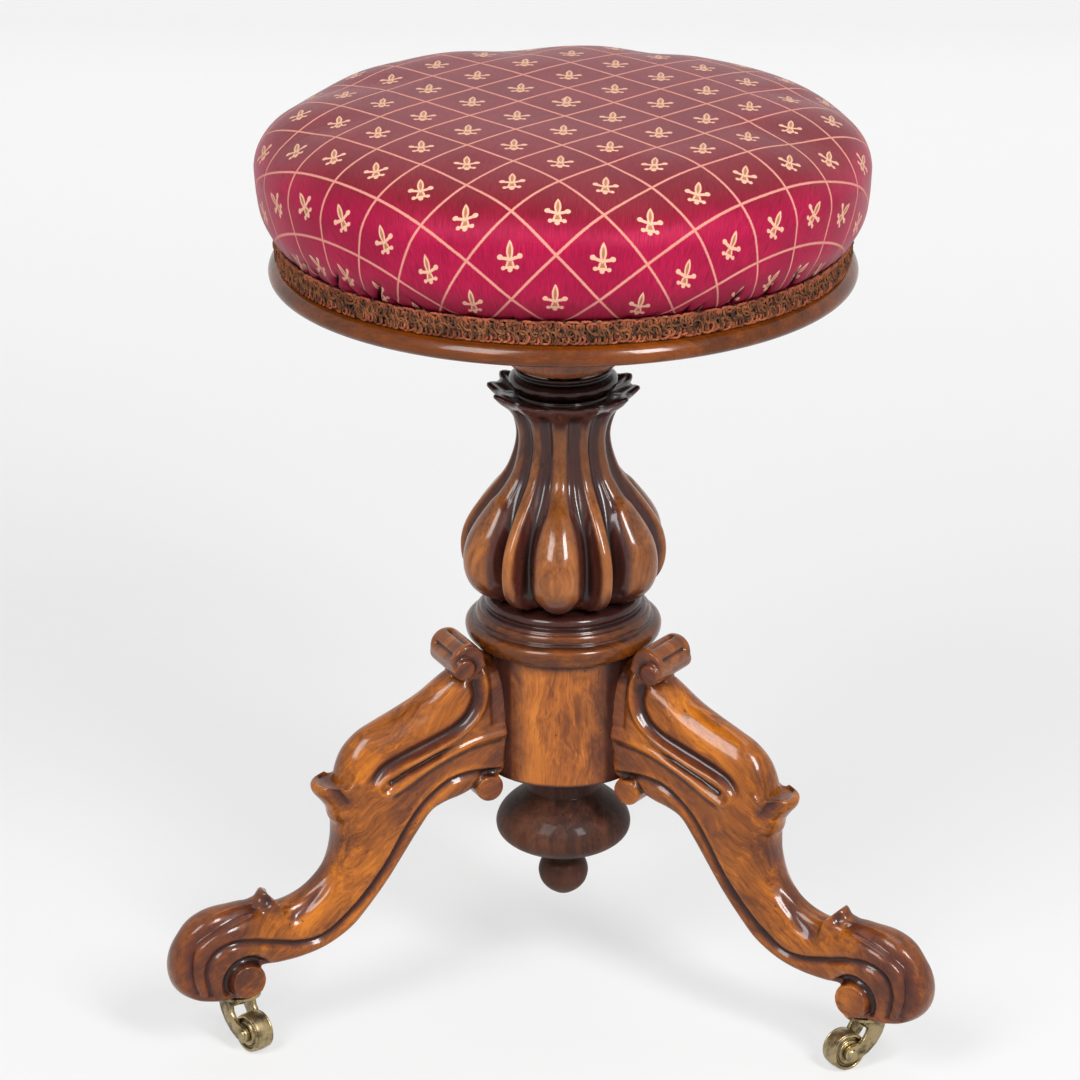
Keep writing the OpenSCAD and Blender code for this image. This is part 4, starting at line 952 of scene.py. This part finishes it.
def damask_look():
    """Crimson silk with a lattice of pale lines and a fleur-de-lis in each diamond."""
    look = Look("crimson_damask")
    uv = look.add("ShaderNodeUVMap", uv_map="cloth")
    u, v, _ = look.parts(uv)
    a, b = u + v, u - v
    da, db = a - look.math("ROUND", a), b - look.math("ROUND", b)
    line = (0.5 - look.most(abs(da), abs(db))) * (LATTICE_W * LATTICE_H / math.hypot(LATTICE_W, LATTICE_H))
    x, y = abs((da + db) * (LATTICE_W / 2)), (da - db) * (LATTICE_H / 2)

    def knob(cx, cy, radius):
        return look.length(x - cx, y - cy) - radius

    def stroke(ax, ay, bx, by, half):
        dx, dy = bx - ax, by - ay
        px, py = x - ax, y - ay
        t = px * (dx / (dx * dx + dy * dy)) + py * (dy / (dx * dx + dy * dy))
        t = look.least(look.most(t, 0.0), 1.0)
        return look.length(px - t * dx, py - t * dy) - half

    # A pointed petal where two rounds overlap, two arms and a spreading foot, each ending in small knobs
    petal = knob(-10.0, 3.0, 11.9)
    figure = abs(petal + 0.5) - 0.48
    for part in (stroke(0.9, -1.7, 5.0, -0.6, 0.95), knob(5.6, -0.1, 1.6), stroke(1.3, -3.2, 2.2, -6.4, 0.5),
                 stroke(0.0, -6.8, 3.3, -6.7, 0.75), knob(3.9, -6.9, 1.25), knob(0.0, -8.2, 1.4)):
        figure = look.least(figure, part)
    body = look.most(x + y * 0.3 - 0.5, look.most(y + 2.5, -7.2 - y))
    filling = look.step(0.2, -0.2, look.least(petal, body))
    cloth = look.place(coords=uv)
    ragged = (look.noise(cloth, 60, 3, 0.7) - 0.5) * 1.2
    figures = look.step(0.26, -0.16, figure + ragged * 0.7)
    marks = look.most(look.step(1.05, 0.5, line + ragged), figures)
    rib = look.math("SINE", v * (2 * math.pi * 78))
    streak = look.noise(look.place((70, 1.6, 1), coords=uv), 3.0, 5, 0.65)
    slub = look.noise(look.place((110, 9, 1), coords=uv), 3.0, 3, 0.6)
    patch = look.noise(cloth, 1.1)
    # Painted light: the sides are a brighter crimson and the top a duller maroon, as the satin catches the
    # light
    top = look.step(0.45, 0.97, look.parts(look.coords("Normal"))[2])
    ground = look.blend(top, (0.36, 0.007, 0.050), (0.160, 0.008, 0.015))
    shadow = look.blend(top, (0.15, 0.003, 0.020), (0.078, 0.004, 0.007))
    ground = look.blend(look.step(0.60, 0.38, streak), ground, shadow)
    ground = look.blend(look.step(0.56, 0.72, slub) * 0.55, ground, (0.060, 0.008, 0.012))
    ground = look.blend(look.step(0.42, 0.62, patch) * 0.4, ground, shadow)
    ground = look.blend(look.step(0.2, 1.0, rib) * 0.12, ground, (0.50, 0.05, 0.09))
    cream = look.blend(figures, (0.56, 0.245, 0.20), (0.66, 0.41, 0.29))
    cream = look.blend(look.noise(cloth, 70, 2) * 0.45, cream, (0.40, 0.16, 0.09))
    color = look.blend(filling * 0.85, ground, (0.31, 0.150, 0.062))
    color = look.blend(marks * 0.92, color, cream)
    # Painted shade in the creases
    color = look.blend(look.step(0.05, 0.6, look.attribute("crease_shade")), color, (0.05, 0.02, 0.03), "MULTIPLY")
    # Painted shade low on the side, under the bulge above the braid
    color = look.blend(look.attribute("foot") * 0.55, color, (0.28, 0.12, 0.16), "MULTIPLY")
    look.set(Base_Color=color, Roughness=look.step(0, 1, marks, 0.40, 0.65), Anisotropic=0.6,
             Tangent=look.add("ShaderNodeTangent", direction_type="UV_MAP", uv_map="cloth"),
             Specular_Tint=(1.0, 0.25, 0.38), Specular_IOR_Level=0.25, IOR=1.45,
             Normal=look.bump(marks + rib * 0.2, 0.35, 0.00022))
    return look.material


def cushion_profile(steps=260):
    """Radius and level of the cover from its apex to its foot, evenly spaced."""
    a = np.radians(np.arange(90, -1, -3))
    crown = np.column_stack([cushion_r * np.cos(a) ** CROWN_POWER,
                             rim_z1 + side_h + (cushion_h - side_h) * np.sin(a)])
    crown[0, 0] = 0
    wall = np.array([[mix(board_r, cushion_r, 0.96), rim_z1 + 0.78 * side_h],
                     [mix(board_r, cushion_r, 0.82), rim_z1 + SIDE_MID * side_h],
                     [mix(board_r, cushion_r, 0.45), rim_z1 + SIDE_TURN * side_h],
                     [foot_r, rim_z1 + SIDE_FOOT * side_h], [foot_r, rim_z1 + 0.3]])
    p = spline(np.vstack([crown, wall]), 6)
    return even(p, lengths(p)[-1] / steps)


def cloth_map(profile, cols):
    """Flat cloth coordinates, in millimetres, on a grid of profile points and angles from the front.
    The threads run straight over the edge at the front, sides and back, and crowd at the corners between."""
    angle = round_angles(cols)
    s = lengths(profile)
    edge = smooth_step(0.86 * cushion_r, 1.08 * cushion_r, s)
    heading = angle[None] - GRAIN_PULL * edge[:, None] * np.sin(4 * angle)[None]
    ds = np.diff(s + EDGE_STRETCH * np.maximum(0, s - 0.5 * cushion_r), prepend=0)[:, None]
    right = np.cumsum(np.sin(heading) * ds, 0) - LATTICE_SIDE
    back = -np.cumsum(np.cos(heading) * ds, 0)
    c, s = math.cos(LATTICE_TURN), math.sin(LATTICE_TURN)
    return (right * c - back * s) / LATTICE_W, (back * c + right * s + LATTICE_BACK) / LATTICE_H, angle


def make_pleats(angle, above):
    """Inward depth of the gathers, and their sideways pull, at each angle and height above the braid."""
    both = np.zeros((2, *np.broadcast(angle, above).shape))
    depth, slide = both
    folds = [(math.radians(CAMERA_AZIMUTH + at), deep, math.radians(CREASE_WIDTH), tall, math.radians(lean))
             for at, deep, tall, lean in CREASES]
    for k in range(PLEATS):
        centre = 2 * math.pi * (k + rng.uniform(-0.4, 0.4)) / PLEATS
        crowd = abs(math.sin(2 * centre)) ** 2
        deep = rng.uniform(0.3, 1.0) * mix(1.0, 4.2, crowd)
        wide = math.radians(rng.uniform(0.5, 0.95))
        tall = rng.uniform(0.4, 1.0) * mix(9, 20, crowd)
        lean = math.radians(rng.uniform(-0.16, 0.16) + 0.22 * math.sin(4 * centre))
        folds.append((centre, deep, wide, tall, lean))
    for centre, deep, wide, tall, lean in folds:
        off = (angle - centre - lean * above + math.pi) % (2 * math.pi) - math.pi
        fade = smooth_step(tall, 0.1 * tall, above)
        depth += deep * np.exp(-np.abs(off / (wide * mix(0.55, 1, fade))) ** 1.3) * fade
        depth -= 0.25 * deep * bell(np.abs(off) - 2.6 * wide, 1.6 * wide) * fade
        slide += deep * np.tanh(off / wide) * np.exp(-np.abs(off / (3 * wide))) * fade
    return both


def puffed(profile, cols=96, rows=40):
    """How a cloth skin over the stuffing moves when it is blown up a little: a search tree and the moves."""
    small = even(profile * [0.985, 1] - [0, 1.5], lengths(profile)[-1] / rows)
    verts, faces = turned(small[1:], cols, closed=False)
    verts[-2, 2] = small[0, 1]
    pad = new_object("pad_work", verts, faces, None)
    apply(pad, "REMESH", mode="VOXEL", voxel_size=CLOTH_VOXEL * MM)
    before = points_of(pad.data)
    low = before[:, 2] < (gimp_z1 + 1) * MM
    pad.vertex_groups.new(name="pins").add(np.nonzero(low)[0].tolist(), 1.0, "REPLACE")
    cloth = pad.modifiers.new("Cloth", "CLOTH")
    fill(cloth.settings, use_pressure=True, uniform_pressure_force=4, vertex_group_mass="pins", mass=0.3,
         tension_stiffness=12, bending_stiffness=0.8)
    cloth.settings.effector_weights.gravity = 0
    fill(cloth.point_cache, frame_start=1, frame_end=CLOTH_FRAMES)
    for f in range(1, CLOTH_FRAMES + 1):
        bpy.context.scene.frame_set(f)
    graph = bpy.context.evaluated_depsgraph_get()
    move = points_of(bpy.data.meshes.new_from_object(pad.evaluated_get(graph))) - before
    bpy.context.scene.frame_set(1)
    length, cap = np.linalg.norm(move, axis=1)[:, None], CLOTH_CAP * MM
    move = np.where(length > cap, move * cap / np.maximum(length, 1e-9), move)
    tree = kdtree.KDTree(len(before))
    for k, v in enumerate(before):
        tree.insert(v, k)
    tree.balance()
    bpy.data.objects.remove(pad)
    return tree, move


def spread_out(coarse, rows_at, cols_at, rows, cols):
    """Values on a coarse grid, read at each row and column of a fine one that closes round."""
    wide = np.stack([np.interp(np.arange(cols), np.append(cols_at, cols), np.append(row, row[0]))
                     for row in coarse])
    return np.stack([np.interp(np.arange(rows), rows_at, column) for column in wide.T], 1)


def unevenness(verts, slid):
    """How far the simulated cloth moves the cover out and up. The frame keeps the cushion's form, so only
    the unevenness round each row is taken over."""
    rows, cols = slid.shape
    tree, move = puffed(cushion_profile())
    rows_at, cols_at = np.append(np.arange(0, rows - 1, 5), rows - 1), np.arange(0, cols, 9)
    shift = np.zeros((len(rows_at), len(cols_at), 3))
    for i, row in enumerate(rows_at):
        for j, col in enumerate(cols_at):
            near = tree.find_n(Vector(verts[row, col] * MM), 6)
            w = np.array([1 / (d + 2 * MM) for _, _, d in near])
            shift[i, j] = (w[:, None] * move[[n for _, n, _ in near]]).sum(0) / w.sum() / MM
    angle = slid[rows_at][:, cols_at]
    uneven = np.stack([shift[..., 0] * np.cos(angle) + shift[..., 1] * np.sin(angle), shift[..., 2]], -1)
    uneven = np.clip(uneven - uneven.mean(1, keepdims=True), -UNEVEN, UNEVEN)
    for _ in range(4):
        uneven = (np.roll(uneven, 1, 1) + 2 * uneven + np.roll(uneven, -1, 1)) / 4
        uneven[1:-1] = (uneven[:-2] + 2 * uneven[1:-1] + uneven[2:]) / 4
    return [spread_out(uneven[..., k], rows_at, cols_at, rows, cols) for k in range(2)]


def make_cover():
    profile = cushion_profile()[1:]
    rows, cols = len(profile), 1080
    u, v, angle = cloth_map(profile, cols)
    radius, level = profile[:, :1], profile[:, 1:]
    above = level - gimp_z1
    depth, slide = make_pleats(angle[None], np.maximum(above, 0)) * smooth_step(-3, 0, above)
    lumps = np.zeros((rows, cols))
    for k in range(LUMPS):
        centre, out = rng.uniform(0, 2 * math.pi), rng.uniform(0, 0.95) * cushion_r
        spread = rng.uniform(22, 45)
        x = radius * np.cos(angle) - out * math.cos(centre)
        y = radius * np.sin(angle) - out * math.sin(centre)
        lumps += rng.uniform(-0.9, 0.7) * np.exp(-(x ** 2 + y ** 2) / spread ** 2)
    radius = np.minimum(radius - depth, cushion_r + BULGE)
    z = level + lumps * smooth_step(0.2 * side_h, 1.2 * side_h, level - rim_z1)
    slid = angle[None] + math.radians(CAMERA_AZIMUTH) - slide / np.maximum(radius, 20) * 0.3
    verts = around(radius, slid, z)
    out, up = unevenness(verts, slid)
    verts += around(out, slid, up)
    verts = verts.reshape(-1, 3)
    faces = grid_faces(rows, cols) + fan(0, cols, len(verts))
    cover = new_object("seat_cover_damask", np.vstack([verts, [verts[:cols].mean(0)]]), faces, damask_look())
    mesh = cover.data
    if (normals_of(mesh)[:cols * 3, 2] < 0).mean() > 0.5:
        mesh.flip_normals()
    # Where shade is painted: in the creases, and low on the side by the braid
    set_attribute(mesh, "crease_shade", np.append(depth / 2.6, 0))
    set_attribute(mesh, "foot", np.append(np.broadcast_to(smooth_step(20, 0, above), depth.shape), 0))
    flat = np.vstack([np.column_stack([u.ravel(), v.ravel()]), [[0, LATTICE_BACK / LATTICE_H]]])
    corners = table(mesh.loops, "vertex_index", 1, np.int32)[:, 0]
    mesh.uv_layers.new(name="cloth").data.foreach_set("uv", flat[corners].astype(np.float32).ravel())
    apply(cover, "SOLIDIFY", thickness=COVER_T * MM, offset=-1, use_even_offset=False)
    set_smooth(cover.data)
    show(cover, "seat", "silk_damask", "seat_cover")


def make_stuffing():
    inset = cushion_profile(90) * [STUFFING_SHARE, 1] - [0, STUFFING_DROP]
    keep = inset[inset[:, 1] > board_z1 + 1]
    keep[:, 0] -= STUFFING_DRAW * smooth_step(0.9 * side_h, 0.3 * side_h, keep[:, 1] - rim_z1)
    outline = np.vstack([keep[1:], [[keep[-1, 0] - 2, board_z1 + 0.3]]])[::-1]
    pad = lathe("stuffing_pad", outline, horsehair, steps=120, closed=False)
    show(pad, "seat", "horsehair", "stuffing")


# The braid's rows: level and height as shares of half its height, loops, way, set out, cord radius, yarn
GIMP_ROWS = [(0.60, 0.36, 282, 1, 0.55, 0.70, gimp_brown), (-0.60, 0.36, 271, -1, 0.55, 0.70, gimp_brown),
             (0.02, 0.40, 253, 1, 0.9, 0.70, gimp_dark), (0.34, 0.50, 227, -1, 0.9, 0.66, gimp_gold),
             (-0.34, 0.50, 241, 1, 0.9, 0.66, gimp_gold)]
LOOP_STEPS = 14
CORD_SIDES = 6


def cord(path, radius, outward):
    """Points and faces of a closed cord along a path, its rings set against the outward directions."""
    along = unit(np.roll(path, -1, 0) - np.roll(path, 1, 0))
    up = unit(outward - (outward * along).sum(1)[:, None] * along)
    a = round_angles(CORD_SIDES)[None, :, None]
    rings = path[:, None] + radius * (np.cos(a) * up[:, None] + np.sin(a) * np.cross(along, up)[:, None])
    return rings.reshape(-1, 3), grid_faces(len(path), CORD_SIDES, wrap_rows=True)


def make_gimp():
    """Looped braid: rows of small uneven loops over a backing band."""
    mid_r, mid_z, half_h = gimp_r - 2.1, (gimp_z0 + gimp_z1) / 2, (gimp_z1 - gimp_z0) / 2
    made = []
    for k, (level, tall, loops, way, out, cord_r, finish) in enumerate(GIMP_ROWS):
        t = np.arange(loops * LOOP_STEPS) / LOOP_STEPS * 2 * math.pi
        turns = t / t.max() * 2 * math.pi
        waver = [sum(rng.uniform(0.3, 1) * np.sin(rng.randint(25, 150) * turns + rng.uniform(0, 6))
                     for _ in range(6)) / 2 for _ in range(3)]
        phase = t + 2.0 * waver[0]
        theta = t / loops + way * (1.75 + 0.6 * waver[1]) / mid_r * np.sin(phase)
        z = mid_z + half_h * level + half_h * tall * ((1 + 0.4 * waver[2]) * np.cos(phase) + 0.35 * waver[1])
        z = np.clip(z, gimp_z0 + cord_r, gimp_z1 + 0.4 - cord_r)
        r = mid_r + out + 0.6 * np.cos(phase + 1.3 * k) + 0.4 * waver[1]
        mesh = cord(around(r, theta, z), cord_r, around(1, theta, 0))
        made.append(new_object(f"gimp_cord_{k}", *mesh, finish))
    inner, outer, top = mid_r - 1.1, mid_r + 0.1, gimp_z1 - 0.6
    band = [[inner, gimp_z0], [outer, gimp_z0], [outer, top], [inner, top]]
    made.append(lathe("gimp_band", band, gimp_dark, steps=240))
    show(made[0], "seat", "gimp", "gimp_braid")
    for piece in made[1:]:
        show(piece, "seat", "gimp")


# The casters

# A wheel's outline: radius and half width as shares of its radius
WHEEL_SHARES = shares((270, 520), (560, 520), (620, 490), (660, 420), (760, 410), (800, 480), (830, 520),
                      (900, 520), (945, 490), (955, 440), (940, 410), (965, 390), (985, 280), (1000, 0))


def make_wheel(side):
    """A barrel-shaped roller with a ring at each edge and dished faces, turned about its joint's axis."""
    joint = next(j for j in frame["joints"] if j["child"] == f"wheel_{side}")
    half = spline(WHEEL_SHARES, 3) * wheel_r
    outline = np.vstack([half, half[-2::-1] * [1, -1]])
    wheel = lathe(f"wheel_{side}_turned", outline, brass, steps=96, wear=(0.3, 10))
    axis = Vector(joint["axis"]).to_track_quat("Z", "Y").to_matrix().to_4x4()
    wheel.data.transform(Matrix.Translation(joint["pos_m"]) @ axis)
    show(wheel, f"wheel_{side}", "caster_brass", f"caster_wheel_{side}")


def make_cast(node):
    """A cast piece in its CAD shape, with its edges worn round."""
    source = frame["nodes"][node]
    piece = add_to_scene(f"{node}_cast", source.data.copy())
    apply(piece, "WELD", merge_threshold=0.01 * MM)
    apply(piece, "BEVEL", width=0.35 * MM, segments=2, limit_method="ANGLE", angle_limit=math.radians(40),
          harden_normals=True)
    piece.data.materials.clear()
    piece.data.materials.append(brass)
    set_smooth(piece.data)
    show(piece, source["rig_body"], "caster_brass", node)


for side in LEG_ANGLES:
    make_wheel(side)
    for part in ("horn", "plate", "axle", "pivot"):
        make_cast(f"caster_{part}_{side}")

make_cover()
make_stuffing()
make_gimp()
show(make_rim(), "seat", "walnut", "seat_rim")
show(make_boss(), "seat", "walnut_dark", "seat_boss")
column, column_ring, column_tenon = make_column()
show(column, "base", "walnut_dark", "column")
show(column_ring, "base", "walnut_dark")
show(column_tenon, "base", "walnut_dark")
show(make_collar(), "base", "walnut", "collar")
show(make_hub(), "base", "walnut_burr", "hub")
show(make_finial(), "base", "walnut_ebonised", "finial")
make_legs()

# CAD pieces that keep their own shape
FINISHES = {"seat_board": beech, "screw_plate": iron, "screw_nut": nut_brass, "stop_washer": washer_leather,
            "caster_plate_screws": brass}
for name in ("tacks", "rim_screws", "boss_screws", "plate_screws", "nut_screws", "seat_screw", "stop_collar"):
    FINISHES[name] = steel
for name, finish in FINISHES.items():
    for slot in frame["nodes"][name].material_slots:
        slot.material = finish


# Floor, backdrop, lights and camera

SKY = 0.93
PAPER_NEAR, PAPER_FAR, PAPER_SHADING = 0.845, 1.06, 0.27
FLOOR_R, FLOOR_SIDES = 10, 96
CARD_HALF, CARD_BACK, CARD_RISE, CARD_BEND = 4.0, 2.6, 3.6, 0.9


def paper_look():
    """A pale surface that shows its own colour to the camera, paler far away, and keeps part of its shading.
    Beyond a few metres it is the sky's colour, so that no edge shows from any side."""
    look = Look("pale_paper")
    x, y, _ = look.parts(look.coords())
    distance = look.length(x * 0.5, y)
    away = look.step(2.2, 4.8, distance)
    here = 1.0 - away
    value = look.step(0.2, 2.0, distance, PAPER_NEAR, PAPER_FAR) * here + away * SKY
    look.set(Base_Color=[PAPER_NEAR] * 3, Roughness=0.55, Specular_IOR_Level=0.2)
    glow = look.add("ShaderNodeEmission", [value])
    share = look.shown() * (1.0 - here * PAPER_SHADING)
    look.put(look.output, look.add("ShaderNodeMixShader", (share, look.surface, glow)))
    return look.material


def make_stage():
    """A pale round floor, and a card behind the stool that only lights it."""
    paper = paper_look()
    rim = around(FLOOR_R / MM, round_angles(FLOOR_SIDES), 0)
    floor = new_object("floor_round", rim, [list(range(FLOOR_SIDES))], paper)
    path = [(CARD_BACK - CARD_BEND * (1 - math.sin(t)), CARD_BEND * (1 - math.cos(t)))
            for t in np.linspace(0.6, math.pi / 2, 10)] + [(CARD_BACK, CARD_RISE)]
    a = math.radians(CAMERA_AZIMUTH - 180)
    away, right = np.array([math.cos(a), math.sin(a)]), np.array([math.sin(a), -math.cos(a)])
    verts = [[*(away * d + right * side) / MM, z / MM] for d, z in path for side in (-CARD_HALF, CARD_HALF)]
    faces = [[2 * k, 2 * k + 1, 2 * k + 3, 2 * k + 2] for k in range(len(path) - 1)]
    card = new_object("backdrop_card", verts, faces, paper)
    fill(card, visible_camera=False, visible_shadow=False)


def looking(name, data, azimuth, elevation, distance, height):
    """Adds a lamp or camera that looks at a height on the stool's axis from a direction."""
    obj = add_to_scene(name, data)
    e = math.radians(elevation)
    d = Vector(around(math.cos(e), math.radians(azimuth), math.sin(e)))
    obj.location = Vector((0, 0, height)) + distance * d
    obj.rotation_euler = (-d).to_track_quat("-Z", "Y").to_euler()
    return obj


def make_lamp(name, azimuth, elevation, distance, width, height, power, aim=0.28):
    lamp = bpy.data.lights.new(name, "AREA")
    fill(lamp, shape="RECTANGLE", size=width, size_y=height, energy=power)
    looking(name, lamp, azimuth, elevation, distance, aim)


def make_world():
    """White for the rays that see the background, and a weak light for all others."""
    world = bpy.data.worlds.new("studio")
    world.use_nodes = True
    nodes = Nodes(world.node_tree)
    back = world.node_tree.nodes["Background"].inputs
    nodes.put(back[0], (1, 1, 1))
    nodes.put(back[1], nodes.add("ShaderNodeMapRange", (nodes.shown(), 0, 1, 0.12, SKY)))
    bpy.context.scene.world = world


def make_camera():
    cam = bpy.data.cameras.new("camera")
    fill(cam, sensor_fit="HORIZONTAL", sensor_width=SENSOR_WIDTH,
         lens=FOCAL_PIXELS / PHOTO_PIXELS * SENSOR_WIDTH,
         shift_x=(PHOTO_PIXELS / 2 - AXIS_PIXEL) / PHOTO_PIXELS)
    stand = looking("camera", cam, CAMERA_AZIMUTH, CAMERA_PITCH, CAMERA_DISTANCE, AIM_HEIGHT)
    bpy.context.scene.camera = stand


make_stage()
make_world()
make_camera()
make_lamp("key_left", CAMERA_AZIMUTH - 36, 42, 2.2, 0.8, 1.3, 42)
make_lamp("key_right", CAMERA_AZIMUTH + 35, 38, 2.4, 0.5, 1.0, 58)
make_lamp("top", CAMERA_AZIMUTH + 150, 70, 2.2, 1.6, 1.2, 12)
bpy.context.scene.view_settings.view_transform = "Standard"
